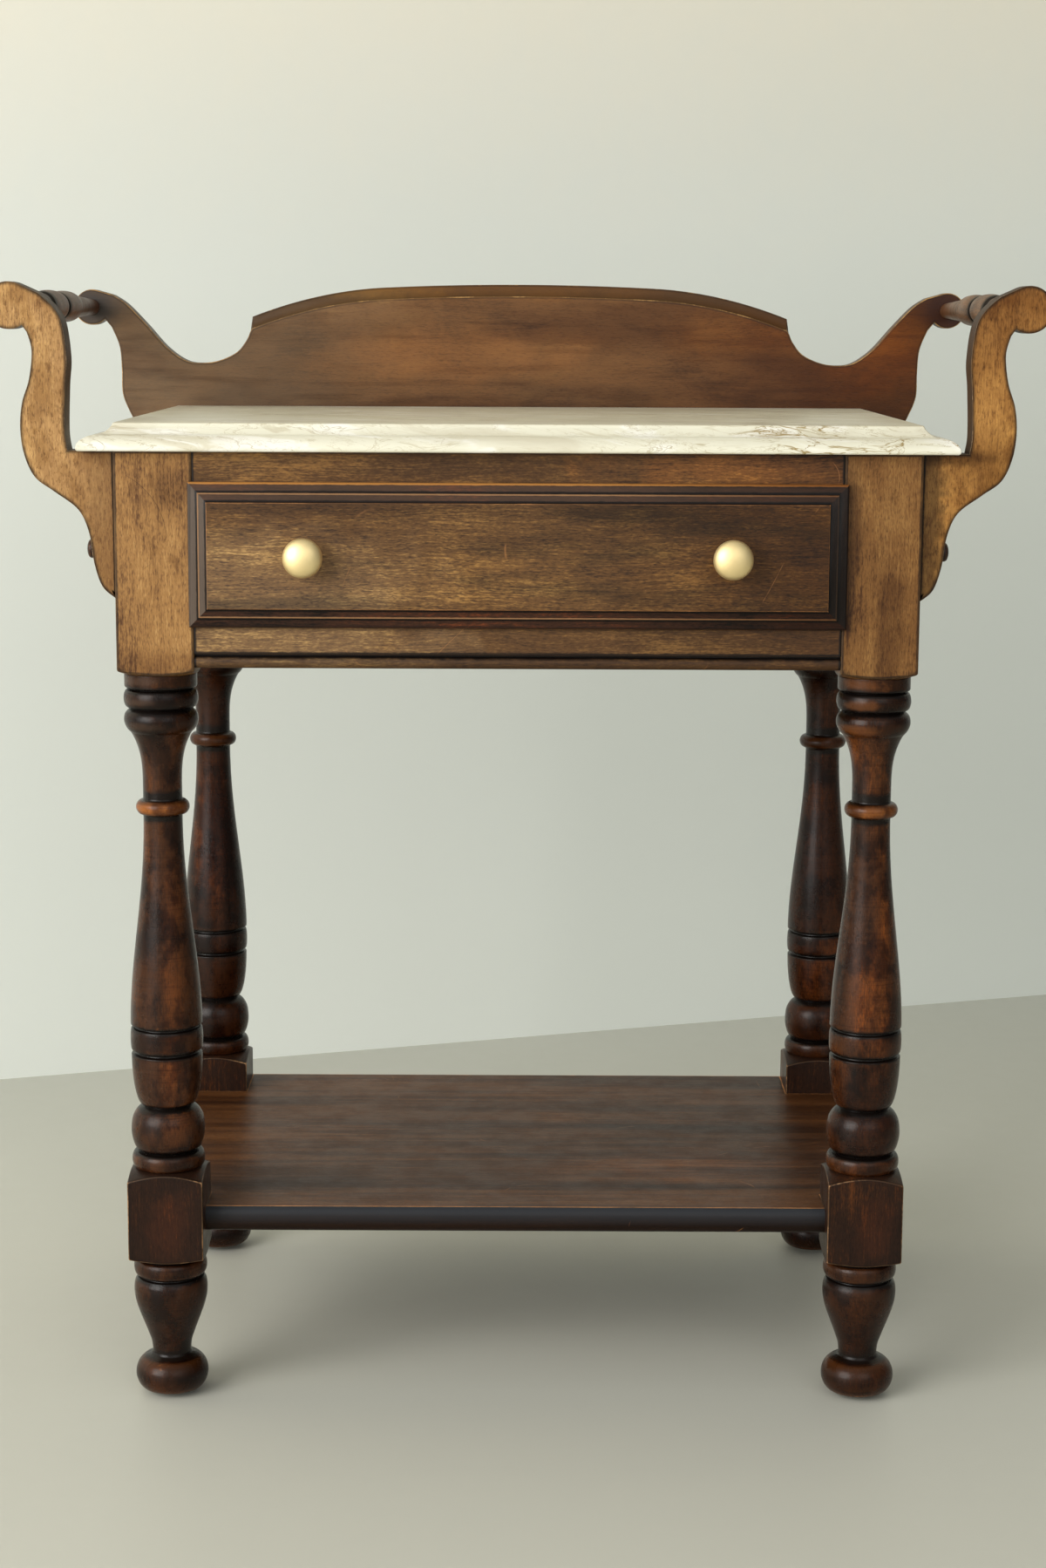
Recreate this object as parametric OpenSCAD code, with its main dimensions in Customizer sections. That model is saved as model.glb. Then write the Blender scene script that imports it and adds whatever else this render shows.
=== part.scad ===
// Washstand: four turned legs, a one-drawer case under a marble slab, a shaped board
// behind it, curved arms that carry two towel bars, and a low shelf.
// Millimetres, +Z up, +X to the right, the drawer opens towards -Y. The origin is on
// the floor at the centre of the whole footprint.

/* [Case] */
// Width over the outer faces of the posts
case_w = 588; // [560:2:620]
// Depth over the front and back faces of the posts
case_d = 399; // [385:1:415]
// Height from the floor to the underside of the slab
case_h = 726; // [715:1:740]
// Side of a square post
post = 57; // [55:0.5:59]
// Thickness of the side and back boards of the case
apron_t = 20; // [18:1:22]
// Setback of the case boards behind the posts' outer faces
reveal = 3; // [2:0.5:5]

/* [Legs] */
// Height of the square upper part of each post
top_block = 160; // [156:1:164]
// Height of the lower square block's underside
foot_h = 114.5; // [110:0.5:118]
// Height of the lower square block
low_block = 59.5; // [58:0.5:62]
// Thickness of the glide under each foot
glide_t = 3; // [2.5:0.5:4]

/* [Slab] */
// Thickness of the marble slab
slab_t = 20; // [19:0.5:24]
// Overhang of the slab past the posts at each end
slab_side = 25; // [23:0.5:27]
// Overhang of the slab past the front of the posts
slab_front = 12.5; // [11:0.5:14]

/* [Arms and towel bars] */
// Thickness of a front arm
arm_t = 24; // [22:1:26]
// Height of the towel bars above the underside of the slab
bar_h = 103.5; // [101.5:0.5:107]
// Largest diameter of a towel bar
bar_d = 25; // [24:0.5:27]
// Diameter of the round pin at each end of a towel bar
bar_pin_d = 12; // [10:0.5:13]

/* [Back board] */
// Thickness of the back board
board_t = 20; // [18:1:22]
// Height of the arch above the underside of the slab
arch_h = 124; // [120:1:130]
// Rise of the arch from its corners to its middle
arch_rise = 28; // [24:1:32]
// Height of the rebate along the arch's front edge
rebate_h = 10; // [8:0.5:12]
// Depth of that rebate
rebate_t = 5; // [4:0.5:7]

/* [Drawer] */
// Height of the drawer opening
opening_h = 100; // [96:1:102]
// Thickness of the moulded part that stands in front of the posts
lip_t = 12; // [11:0.5:13]
// Overlap of that part on the posts and rails
lip_over = 3; // [2.5:0.5:4]
// Thickness of the drawer's sides and back
box_t = 11; // [10:0.5:12]
// Thickness of the drawer's bottom panel
bottom_t = 6; // [5:0.5:7]
// Room between the drawer and each side of its opening
side_gap = 1.5; // [1:0.25:2]
// Diameter of a knob
knob_d = 28; // [26:0.5:30]
// Distance that a knob stands out from the drawer
knob_out = 24; // [22:0.5:26]
// Distance of each knob's middle from the end of the drawer opening
knob_in = 82; // [75:1:89]

/* [Shelf] */
// Thickness of the shelf
shelf_t = 19; // [18:0.5:20]
// Setback of the shelf's front edge behind the posts
shelf_back = 17.5; // [15:0.5:20]

/* [Hidden] */
$fn = 64;

// Stain colours, from the light posts down to the near-black shelf
stain_light = "#94693a";
stain_mid = "#7a5330";
stain_dark = "#4b2d1d";
stain_black = "#33231c";
plain_wood = "#b08a5c";
marble = "#dfd8c6";
brass = "#c9a961";
steel = "#8d8f92";

// Clearances
lip_gap = 0.5;      // closed drawer front to the posts
run_gap = 0.5;      // drawer sides to the runners
head_gap = 4.5;     // drawer to the kickers above it
stop_gap = 13;      // back of the closed drawer to the back of the case
fit_gap = 0.1;      // round pins, dowels and screws in their bores, on the diameter
tenon_gap = 0.15;   // tenon to mortise, and panel to groove
end_gap = 1;        // bottom of a mortise or bore, past its tenon or pin
slab_gap = 8;       // end of the slab to an arm

// Places of the posts; the footprint runs from the knobs to the back board
post_out = case_w / 2;
post_in = post_out - post;
leg_x = post_out - post / 2;
footprint_d = knob_out + lip_t + lip_gap + case_d + board_t;
front_y = -footprint_d / 2 + knob_out + lip_t + lip_gap;
back_y = front_y + case_d;
front_leg_y = front_y + post / 2;
back_leg_y = back_y - post / 2;
front_in_y = front_y + post;
back_in_y = back_y - post;

// Heights
block_z = case_h - top_block;            // underside of the upper block
low_top_z = foot_h + low_block;          // top of the lower block
top_rail_h = 25;
opening_top = case_h - top_rail_h;
opening_z = opening_top - opening_h;     // floor of the drawer opening
lower_rail_h = 23;
rail_z = opening_z - lower_rail_h;
bead_h = 10.5;
case_z = rail_z - bead_h;                // underside of the case
shelf_rise = 16.5;                       // shelf above the lower block's underside
shelf_z = foot_h + shelf_rise;

// Boards and joints of the case
apron_out = post_out - reveal;
apron_in = apron_out - apron_t;
back_apron_y = back_y - apron_t;
tenon_t = 10;
tenon_l = 18;
tenon_inset = 12;
rail_tenon_w = 25;
rail_tenon_h = 11;
rail_tenon_in = 10;                      // behind the rail's front
rail_tenon_y = front_y + rail_tenon_in + rail_tenon_w / 2;

// Drawer
lip_y = front_y - lip_gap;               // back of the moulded part
drawer_half = post_in - side_gap;
inner_half = drawer_half - box_t;
insert_t = 10;                           // part of the front inside the opening
drawer_z = opening_z + run_gap;
drawer_h = opening_h - run_gap - head_gap;
drawer_back_y = back_apron_y - stop_gap;
back_inset = 6;                          // drawer's back, from the ends and tops of its sides
groove = 5;
bottom_rise = 7;
bottom_z = drawer_z + bottom_rise;
runner_t = 12;
runner_lap = 25;                         // runners and kickers reach this far past the posts
runner_in = post_in - runner_lap;
guide_h = 24;
kicker_t = 12;
knob_x = post_in - knob_in;
knob_y = lip_y - lip_t;
knob_z = opening_z + opening_h / 2;
knob_bore_l = 13;

// Dowels and screws
dowel_d = 8;
dowel_l = 36;
bore_dowel_d = dowel_d + fit_gap;
nail_d = 2.5;
nail_l = 14;
screw_d = 4;
screw_head_d = 8;
slot_w = 1.2;
slot_deep = 1;
arm_y = front_y + reveal;                // front face of the arms
arm_mid_y = arm_y + arm_t / 2;
arm_dowel_drop = 28;                     // from the slab's underside down
arm_dowel_z = case_h - arm_dowel_drop;
arm_screw_drop = 72;
arm_screw_z = case_h - arm_screw_drop;
plug_seat = 15.2;                        // flat under the plug's head, from the post
plug_d = 14;
plug_stem_d = 9;
plug_stem_l = 6;
plug_stem_gap = 0.5;                     // plug's stem to the screw's head
plug_clear = 10;                         // length of the bores outside those seats
arm_screw_seat = plug_seat - plug_stem_l - plug_stem_gap;
arm_screw_l = 36;
board_screw_l = 36;
board_bottom = 86;                       // from the slab's underside down
board_screw_drop = [28, 68];             // from the slab's underside down
board_screw_z = [for (drop = board_screw_drop) case_h - drop];
apron_screw_in = 119;                    // from the posts
apron_screw_x = post_in - apron_screw_in;
dowel_z = shelf_z + shelf_t / 2;
shelf_front_y = front_y + shelf_back;
front_dowel_y = (shelf_front_y + front_in_y) / 2;
shelf_in = 4;                            // shelf's ends, from the posts' outer faces
shelf_half = post_out - shelf_in;

// Lobes of the arms and the back board, around the ends of the towel bars
arm_in = slab_side + slab_gap;           // arm's inner edge, from the post
lobe_in = 40.5;                          // lobe's centre, from that edge
lobe_u = arm_in + lobe_in;
lobe_x = post_out + lobe_u;
front_lobe_r = 17;
back_lobe_r = 15;
bar_z = case_h + bar_h;
bar_y = arm_y + arm_t;                   // back of the arms
bar_l = back_y - bar_y;
bar_pin_l = 12;

// ---------- Helpers ----------

// Right-hand pieces are drawn, and left-hand ones are their mirror images
module on_side(s) mirror([s < 0 ? 1 : 0, 0, 0]) children();

// Points on an arc about c, from angle a0 to a1
function arc(c, r, a0, a1, n = 8) =
    [for (i = [0:n]) c + r * [cos(a0 + (a1 - a0) * i / n), sin(a0 + (a1 - a0) * i / n)]];

// Smooth curve through a list of points, n steps between neighbours
function curve(p, n = 4) = concat(
    [for (i = [0:len(p) - 2]) for (j = [0:n - 1])
        spline(p[max(i - 1, 0)], p[i], p[i + 1], p[min(i + 2, len(p) - 1)], j / n)],
    [p[len(p) - 1]]);
function spline(a, b, c, d, t) =
    (2 * b + (c - a) * t + (2 * a - 5 * b + 4 * c - d) * pow(t, 2)
        + (3 * b - a - 3 * c + d) * pow(t, 3)) / 2;

// Turned shapes as [radius, height] points: a round bead, and a smooth change of radius
function bead(z0, z1, r, r_max, n = 8) =
    [for (i = [0:n]) [r + (r_max - r) * sin(180 * i / n), z0 + (z1 - z0) * (1 - cos(180 * i / n)) / 2]];
function sweep(z0, r0, z1, r1, power = 1, n = 10) =
    [for (i = [0:n]) [r0 + (r1 - r0) * (1 - cos(180 * pow(i / n, power))) / 2, z0 + (z1 - z0) * i / n]];

// A solid turned about Z from its [radius, height] points
module turned(points) {
    z_first = points[0][1];
    z_last = points[len(points) - 1][1];
    rotate_extrude() polygon(concat([[0, z_first]], points, [[0, z_last]]));
}

// A rod or bore along X, Y or Z from a point
module rod_x(from, d, l) translate(from) rotate([0, 90, 0]) cylinder(d = d, h = l);
module rod_y(from, d, l) translate(from) rotate([-90, 0, 0]) cylinder(d = d, h = l);
module rod_z(from, d, l) translate(from) cylinder(d = d, h = l);

// A box between two corners
module block(from, to) translate(from) cube(to - from);

// A flat board cut to an outline of [x, z] points, from y to y + t
module board(points, y, t) translate([0, y + t, 0]) rotate([90, 0, 0]) linear_extrude(t) polygon(points);

// A bar along X from x0 to x1 with a section of [y, z] points
module bar_x(points, x0, x1)
    translate([x0, 0, 0]) rotate([90, 0, 90]) linear_extrude(x1 - x0) polygon(points);

// The slot of a screw, cut from the face of its head at z = 0
module slot_cut() block([-screw_head_d, -slot_w / 2, -1], [screw_head_d, slot_w / 2, slot_deep]);

// A countersunk wood screw or its bore, pointing along +Z from the face of its head
module screw(l, gap = 0, slot = true) {
    head_h = (screw_head_d - screw_d) / 2;
    difference() {
        union() {
            cylinder(d1 = screw_head_d + gap, d2 = screw_d + gap, h = head_h);
            cylinder(d = screw_d + gap, h = l);
        }
        if (slot) slot_cut();
    }
}

// ---------- Legs ----------

// Radii of the turnings
turn_r = 27.4;      // fullest turnings
groove_r = 24.6;    // bottoms of the narrow grooves
neck_r = 14.6;      // thin necks
notch_r = 19.8;     // deep notch over the ball
low_turn_h = 118;   // length of the turnings over the low block
high_turn_h = 111.5;    // length of those under the top block

function foot_turning() = concat(
    [[15, glide_t], [19, glide_t + 0.6]],
    [for (a = [-60:20:80]) [17 + 10.8 * cos(a), 16 + 13.5 * sin(a)]],
    [[neck_r + 1, 31], [neck_r, 33]],
    sweep(35, neck_r, foot_h - 36, turn_r + 0.8, 1.15),
    bead(foot_h - 34, foot_h - 21.5, turn_r + 0.6, turn_r + 0.8, 4),
    [[groove_r, foot_h - 21]],
    bead(foot_h - 20, foot_h - 6, groove_r + 0.4, turn_r + 0.6),
    [[groove_r, foot_h - 5]]);

function low_turning(b) = concat(
    [[groove_r, b + 6.5]],
    bead(b + 7, b + 20, groove_r, turn_r + 0.3),
    bead(b + 20.6, b + 55.4, groove_r - 1.5, turn_r + 0.4, 12),
    [[notch_r, b + 56]],
    [for (a = [0:15:90]) [notch_r + 7 * sin(a), b + 56.6 + 34 * (1 - cos(a)) + 6 * a / 90]],
    [[groove_r + 0.8, b + 98.2]],
    bead(b + 99.2, b + low_turn_h - 1, turn_r - 0.6, turn_r, 6),
    [[groove_r + 0.8, b + low_turn_h]]);

function high_turning(t) = concat(
    bead(t - high_turn_h, t - 100.5, neck_r + 0.6, 20),
    [[neck_r, t - 99]],
    [for (i = [0:8]) [neck_r + 9.6 * pow(i / 8, 3.2), t - 90 + 40 * i / 8]],
    [[turn_r - 1, t - 47.5]],
    bead(t - 46.5, t - 31.5, turn_r - 1.6, turn_r + 0.3),
    [[groove_r, t - 31]],
    bead(t - 30.5, t - 17.5, turn_r - 1.6, turn_r + 0.3),
    [[groove_r, t - 17], [turn_r - 0.2, t - 15], [turn_r - 0.2, t - 5], [groove_r, t - 4]]);

function leg_turning() = concat(
    foot_turning(),
    low_turning(low_top_z),
    sweep(low_top_z + low_turn_h + 1, turn_r - 0.3, block_z - high_turn_h - 1.5, neck_r, 0.92, 16),
    high_turning(block_z));

// A square block whose ends rise to low cones, so that its faces end in arcs
module domed_block(z0, z1, dome0, dome1) {
    half = post / 2;
    flat_r = half - 5;
    corner_r = post * 0.75;
    intersection() {
        block([-half, -half, z0 - dome0 - 1], [half, half, z1 + dome1 + 1]);
        turned([[flat_r, z0 - dome0], [corner_r, z0], [corner_r, z1], [flat_r, z1 + dome1]]);
    }
}

module leg_blank() {
    turned(leg_turning());
    domed_block(foot_h, low_top_z, 5, 8);
    domed_block(block_z, case_h, 6, 0);
}

// Tenons of the case boards, also drawn with a gap as the mortises
module apron_tenon(y0, y1, gap = 0)
    block([(apron_in + apron_out - tenon_t) / 2 - gap, y0 - gap, case_z + tenon_inset - gap],
        [(apron_in + apron_out + tenon_t) / 2 + gap, y1 + gap, case_h - tenon_inset + gap]);

module back_tenon(x1, gap = 0)
    block([post_in - 1, back_y - (apron_t + tenon_t) / 2 - gap, case_z + tenon_inset - gap],
        [x1, back_y - (apron_t - tenon_t) / 2 + gap, case_h - tenon_inset + gap]);

module rail_tenon(z, x1, gap = 0)
    block([post_in - 1, rail_tenon_y - rail_tenon_w / 2 - gap, z - rail_tenon_h / 2 - gap],
        [x1, rail_tenon_y + rail_tenon_w / 2 + gap, z + rail_tenon_h / 2 + gap]);

top_rail_mid = (opening_top + case_h) / 2;
lower_rail_mid = rail_z + lower_rail_h / 2;
tenon_x1 = post_in + tenon_l;
mortise_x1 = tenon_x1 + end_gap;

module nail_bore(y) rod_z([leg_x, y, -1], nail_d + fit_gap, nail_l + end_gap + 1);

module front_leg_right() color(stain_light) difference() {
    translate([leg_x, front_leg_y, 0]) leg_blank();
    nail_bore(front_leg_y);
    rail_tenon(top_rail_mid, mortise_x1, tenon_gap);
    rail_tenon(lower_rail_mid, mortise_x1, tenon_gap);
    apron_tenon(front_in_y - tenon_l - end_gap, front_in_y + 1, tenon_gap);
    rod_x([post_in - 1, front_dowel_y, dowel_z], bore_dowel_d, dowel_l / 2 + end_gap + 1);
    rod_x([post_out - dowel_l / 2 - end_gap, arm_mid_y, arm_dowel_z], bore_dowel_d, dowel_l);
    translate([post_out + arm_screw_seat, arm_mid_y, arm_screw_z]) rotate([0, -90, 0])
        screw(arm_screw_l + end_gap, fit_gap, false);
}

module back_leg_right() color(stain_light) difference() {
    translate([leg_x, back_leg_y, 0]) leg_blank();
    nail_bore(back_leg_y);
    back_tenon(mortise_x1, tenon_gap);
    apron_tenon(back_in_y - 1, back_in_y + tenon_l + end_gap, tenon_gap);
    rod_x([post_in - 1, back_leg_y, dowel_z], bore_dowel_d, dowel_l / 2 + end_gap + 1);
    for (z = board_screw_z) board_screw(leg_x, z, fit_gap, end_gap, false);
}

module leg_front_left() on_side(-1) front_leg_right();
module leg_front_right() front_leg_right();
module leg_back_left() on_side(-1) back_leg_right();
module leg_back_right() back_leg_right();

module glide() {
    turned([[9.5, 0], [11, 1], [11, glide_t]]);
    cylinder(d = nail_d, h = nail_l);
}

module foot_glides() color(steel)
    for (s = [-1, 1], y = [front_leg_y, back_leg_y]) translate([s * leg_x, y, 0]) glide();

// ---------- Case ----------

module front_top_rail() color(stain_mid) {
    block([-post_in, front_y, opening_top], [post_in, front_in_y, case_h]);
    for (s = [-1, 1]) on_side(s) rail_tenon(top_rail_mid, tenon_x1);
}

module front_lower_rail() color(stain_mid) {
    block([-post_in, front_y, rail_z], [post_in, front_in_y, opening_z]);
    for (s = [-1, 1]) on_side(s) rail_tenon(lower_rail_mid, tenon_x1);
}

// Half-round bead under the lower rail, with a quirk above it
module rail_bead() color(stain_dark) {
    bead_r = 4.5;
    quirk = 4;
    bead_depth = 20;
    section = concat(
        arc([front_y + bead_r, case_z + bead_r], bead_r, 90, 270, 10),
        [[front_y + bead_depth, case_z], [front_y + bead_depth, rail_z], [front_y + quirk, rail_z],
         [front_y + quirk, case_z + 2 * bead_r]]);
    bar_x(section, -post_in, post_in);
}

module side_apron_right() color(stain_mid) {
    block([apron_in, front_in_y, case_z], [apron_out, back_in_y, case_h]);
    apron_tenon(front_in_y - tenon_l, front_in_y + 1);
    apron_tenon(back_in_y - 1, back_in_y + tenon_l);
}

module side_apron_left() on_side(-1) side_apron_right();

module back_apron() color(stain_mid) difference() {
    union() {
        block([-post_in, back_apron_y, case_z], [post_in, back_y, case_h]);
        for (s = [-1, 1]) on_side(s) back_tenon(tenon_x1);
    }
    for (s = [-1, 1]) board_screw(s * apron_screw_x, board_screw_z[0], fit_gap, end_gap, false);
}

// Runner under each side of the drawer, the guide beside it and the kicker above it
module runner_right() color(plain_wood)
    block([runner_in, front_in_y, opening_z - runner_t], [apron_in, back_in_y, opening_z]);

module guide_right() color(plain_wood)
    block([post_in, front_in_y, opening_z], [apron_in, back_in_y, opening_z + guide_h]);

module kicker_right() color(plain_wood)
    block([runner_in, front_in_y, opening_top], [apron_in, back_in_y, opening_top + kicker_t]);

module drawer_runner_left() on_side(-1) runner_right();
module drawer_runner_right() runner_right();
module drawer_guide_left() on_side(-1) guide_right();
module drawer_guide_right() guide_right();
module drawer_kicker_left() on_side(-1) kicker_right();
module drawer_kicker_right() kicker_right();

// ---------- Drawer ----------

// Stepped moulding of the front, from its outer edge inwards: how far in each point lies,
// and how far out, as a share of lip_t
lip_steps = [
    [0, 0], [0, 0.22], [0.4, 0.32], [1.4, 0.37], [4.5, 0.39], [7.3, 0.47], [7.5, 0.64],
    [8.3, 0.66], [11, 0.68], [13.8, 0.76], [14, 0.96], [14.5, 1]
];

// The section across the front, of half-length h about c, as [along, out] points
function lip_section(c, h) = concat(
    [for (p = lip_steps) [c - h + p[0], lip_y - lip_t * p[1]]],
    [for (i = [len(lip_steps) - 1:-1:0]) [c + h - lip_steps[i][0], lip_y - lip_t * lip_steps[i][1]]]);

module drawer_front() color(stain_mid) {
    half_w = post_in + lip_over;
    half_h = opening_h / 2 + lip_over;
    upright = [for (p = lip_section(knob_z, half_h)) [p[1], p[0]]];
    difference() {
        union() {
            intersection() {
                translate([0, 0, knob_z - half_h]) linear_extrude(2 * half_h)
                    polygon(lip_section(0, half_w));
                bar_x(upright, -half_w, half_w);
            }
            block([-inner_half, lip_y, drawer_z], [inner_half, lip_y + insert_t, drawer_z + drawer_h]);
        }
        block([-inner_half - 1, lip_y + insert_t - groove, bottom_z],
            [inner_half + 1, lip_y + insert_t + 1, bottom_z + bottom_t]);
        for (s = [-1, 1])
            rod_y([s * knob_x, knob_y - 1, knob_z], screw_d + fit_gap, lip_t + insert_t + 2);
    }
}

module side_right() color(plain_wood) difference() {
    block([inner_half, lip_y, drawer_z], [drawer_half, drawer_back_y, drawer_z + drawer_h]);
    block([inner_half - 1, lip_y - 1, bottom_z],
        [inner_half + groove, drawer_back_y + 1, bottom_z + bottom_t]);
}

module drawer_side_left() on_side(-1) side_right();
module drawer_side_right() side_right();

module drawer_back() color(plain_wood)
    block([-inner_half, drawer_back_y - back_inset - box_t, bottom_z + bottom_t],
        [inner_half, drawer_back_y - back_inset, drawer_z + drawer_h - back_inset]);

module drawer_bottom() color(plain_wood)
    block([-inner_half - groove + tenon_gap, lip_y + insert_t - groove + tenon_gap, bottom_z],
        [inner_half + groove - tenon_gap, drawer_back_y, bottom_z + bottom_t]);

// Brass knob, turned about its screw: foot, neck and flattened ball
module knob_shape() {
    ball_r = knob_d / 2;
    ball_half = 8;
    ball_mid = knob_out - ball_half;
    difference() {
        turned(concat(
            [[7, 0], [7, 1.2], [5.6, 2.4]],
            sweep(3, 5.2, 7.5, 4.8, 1, 3),
            [for (a = [-68:17:85]) [ball_r * cos(a), ball_mid + ball_half * sin(a)]],
            [[0.5, knob_out]]));
        translate([0, 0, -1]) cylinder(d = screw_d + fit_gap, h = knob_bore_l + 1);
    }
}

module knob(s) color(brass) translate([s * knob_x, knob_y, knob_z]) rotate([90, 0, 0]) knob_shape();
module knob_left() knob(-1);
module knob_right() knob(1);

module knob_screws() color(steel) for (s = [-1, 1])
    translate([s * knob_x, lip_y + insert_t, knob_z]) rotate([90, 0, 0]) {
        head_h = 2.4;
        translate([0, 0, -head_h]) difference() {
            cylinder(d = screw_head_d, h = head_h);
            slot_cut();
        }
        cylinder(d = screw_d, h = insert_t + lip_t + knob_bore_l - end_gap);
    }

// ---------- Slab ----------

// Moulded edge as [inset, height] points, from the underside up
slab_ease = 2.4;    // rounding of the lower edge
ovolo_r = 9;        // round lower member
cove_in = 11.5;     // where the hollow upper member starts
cove_out = 24.5;    // where it ends
cove_z = 12;
slab_step = 0.9;    // small step up to the flat top
function slab_edge() = concat(
    [[slab_ease, 0], [0.7, 0.7], [0, slab_ease]],
    arc([ovolo_r, cove_z - ovolo_r], ovolo_r, 180, 90, 6),
    [for (i = [0:6]) [cove_in + (cove_out - cove_in) * i / 6,
        cove_z + (slab_t - slab_step - cove_z) * pow(i / 6, 1.6)]],
    [[cove_out + 0.3, slab_t]]);

module marble_slab() color(marble) {
    edge = slab_edge();
    half = post_out + slab_side;
    slab_y = front_y - slab_front;
    last = len(edge) - 1;
    across = concat(
        [for (p = edge) [-half + p[0], case_h + p[1]]],
        [for (i = [last:-1:0]) [half - edge[i][0], case_h + edge[i][1]]]);
    along = concat(
        [for (p = edge) [slab_y + p[0], case_h + p[1]]],
        [[back_y, case_h + slab_t], [back_y, case_h]]);
    intersection() {
        board(across, slab_y, back_y - slab_y);
        bar_x(along, -half, half);
    }
}

// ---------- Arms ----------

// Outline of a front arm: x from the post, z from the underside of the slab
function arm_outline() = concat(
    [[0, 0]],
    curve([[arm_in, 0], [arm_in + 1.7, 14], [arm_in + 0.6, 46], [arm_in - 0.8, bar_h - 37.5],
        [arm_in + 2.2, bar_h - 12.5], [arm_in + 8.7, bar_h - 0.5], [arm_in + 19, bar_h + 9]]),
    arc([lobe_u, bar_h], front_lobe_r, 118, -124, 20),
    curve([[lobe_u - 13, bar_h - 19], [lobe_u - 16.2, bar_h - 32.5], [lobe_u - 13.8, bar_h - 52.5],
        [lobe_u - 8.4, bar_h - 69.5], [lobe_u - 6.6, 16], [lobe_u - 9, -3], [57, -19.5],
        [43, -30], [26, -43], [18.5, -60], [15.2, -82], [9.5, -99], [0, -107.5]], 5));

module arm_right() color(stain_light) difference() {
    board([for (p = arm_outline()) [post_out + p[0], case_h + p[1]]], arm_y, arm_t);
    rod_y([lobe_x, bar_y - bar_pin_l - end_gap, bar_z], bar_pin_d + fit_gap, bar_pin_l + end_gap + 1);
    rod_x([post_out - 1, arm_mid_y, arm_dowel_z], bore_dowel_d, dowel_l / 2 + end_gap + 1);
    rod_x([post_out + plug_seat, arm_mid_y, arm_screw_z], plug_d + fit_gap, plug_clear);
    rod_x([post_out + arm_screw_seat, arm_mid_y, arm_screw_z], plug_stem_d + fit_gap, plug_clear);
    translate([post_out + arm_screw_seat, arm_mid_y, arm_screw_z]) rotate([0, -90, 0])
        screw(arm_screw_l, fit_gap, false);
}

module front_arm_left() on_side(-1) arm_right();
module front_arm_right() arm_right();

module arm_screws() color(steel) for (s = [-1, 1]) on_side(s)
    translate([post_out + arm_screw_seat, arm_mid_y, arm_screw_z]) rotate([0, -90, 0]) screw(arm_screw_l);

// Turned button over each arm's screw
module arm_plugs() color(stain_black) for (s = [-1, 1]) on_side(s)
    translate([post_out + plug_seat, arm_mid_y, arm_screw_z]) rotate([0, 90, 0]) {
        turned([[plug_d / 2, 0], [plug_d / 2, 1.8], [plug_d / 2 - 1, 3.2], [plug_d / 4, 4.4], [0.5, 4.8]]);
        translate([0, 0, -plug_stem_l]) cylinder(d = plug_stem_d, h = plug_stem_l);
    }

module arm_dowels() color(plain_wood) for (s = [-1, 1]) on_side(s)
    rod_x([post_out - dowel_l / 2, arm_mid_y, arm_dowel_z], dowel_d, dowel_l);

// ---------- Back board ----------

arch_in = 64;       // arch's corners, from the posts' outer faces
arch_half = post_out - arch_in;
// Height of the arch at x, gently curved in the middle and steeper towards its corners
function arch_z(x) = let (t = abs(x) / arch_half)
    arch_h - arch_rise * (0.4 * pow(t, 2) + 0.6 * pow(max(0, (t - 0.5) / 0.5), 2));
function arch_line(drop) =
    [for (i = [20:-1:-20]) let (x = arch_half * i / 20) [x, case_h + arch_z(x) - drop]];

// Right end of the board, from the bottom up over the lobe and down to the arch's corner
function board_end() = concat(
    curve([[12, -board_bottom], [16, -60], [20.5, -34], [30, -10], [42, 13], [48.5, 30], [49, 50],
        [50.5, 70], [57, bar_h - 17]], 4),
    arc([lobe_u, bar_h], back_lobe_r, -137, 112, 18),
    curve([[lobe_u - 18, bar_h + 10.5], [lobe_u - 30, bar_h + 2.5], [lobe_u - 46, bar_h - 14],
        [10, 70], [-6, 58.8], [-20, 56.5], [-35, 58.6], [14 - arch_in, 65.5], [5.5 - arch_in, 75.5],
        [2 - arch_in, 85], [-arch_in, arch_h - arch_rise]], 4));

function board_outline() = let (end = board_end(), last = len(end) - 1) concat(
    [for (p = end) [post_out + p[0], case_h + p[1]]],
    arch_line(0),
    [for (i = [last:-1:0]) [-post_out - end[i][0], case_h + end[i][1]]]);

// One screw from the back face of the board, or its bore
module board_screw(x, z, gap = 0, extra = 0, slot = true)
    translate([x, back_y + board_t, z]) rotate([90, 0, 0]) screw(board_screw_l + extra, gap, slot);

module all_board_screws(gap = 0, slot = true) for (s = [-1, 1]) {
    for (z = board_screw_z) board_screw(s * leg_x, z, gap, 0, slot);
    board_screw(s * apron_screw_x, board_screw_z[0], gap, 0, slot);
}

module back_board() color(stain_mid) difference() {
    board(board_outline(), back_y, board_t);
    over = case_h + arch_h + 5;
    board(concat(arch_line(rebate_h), [[-arch_half - 5, over], [arch_half + 5, over]]),
        back_y - 1, rebate_t + 1);
    for (s = [-1, 1]) rod_y([s * lobe_x, back_y - 1, bar_z], bar_pin_d + fit_gap, bar_pin_l + end_gap + 1);
    all_board_screws(fit_gap, false);
}

module back_board_screws() color(steel) all_board_screws();

// ---------- Towel bars ----------

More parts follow.
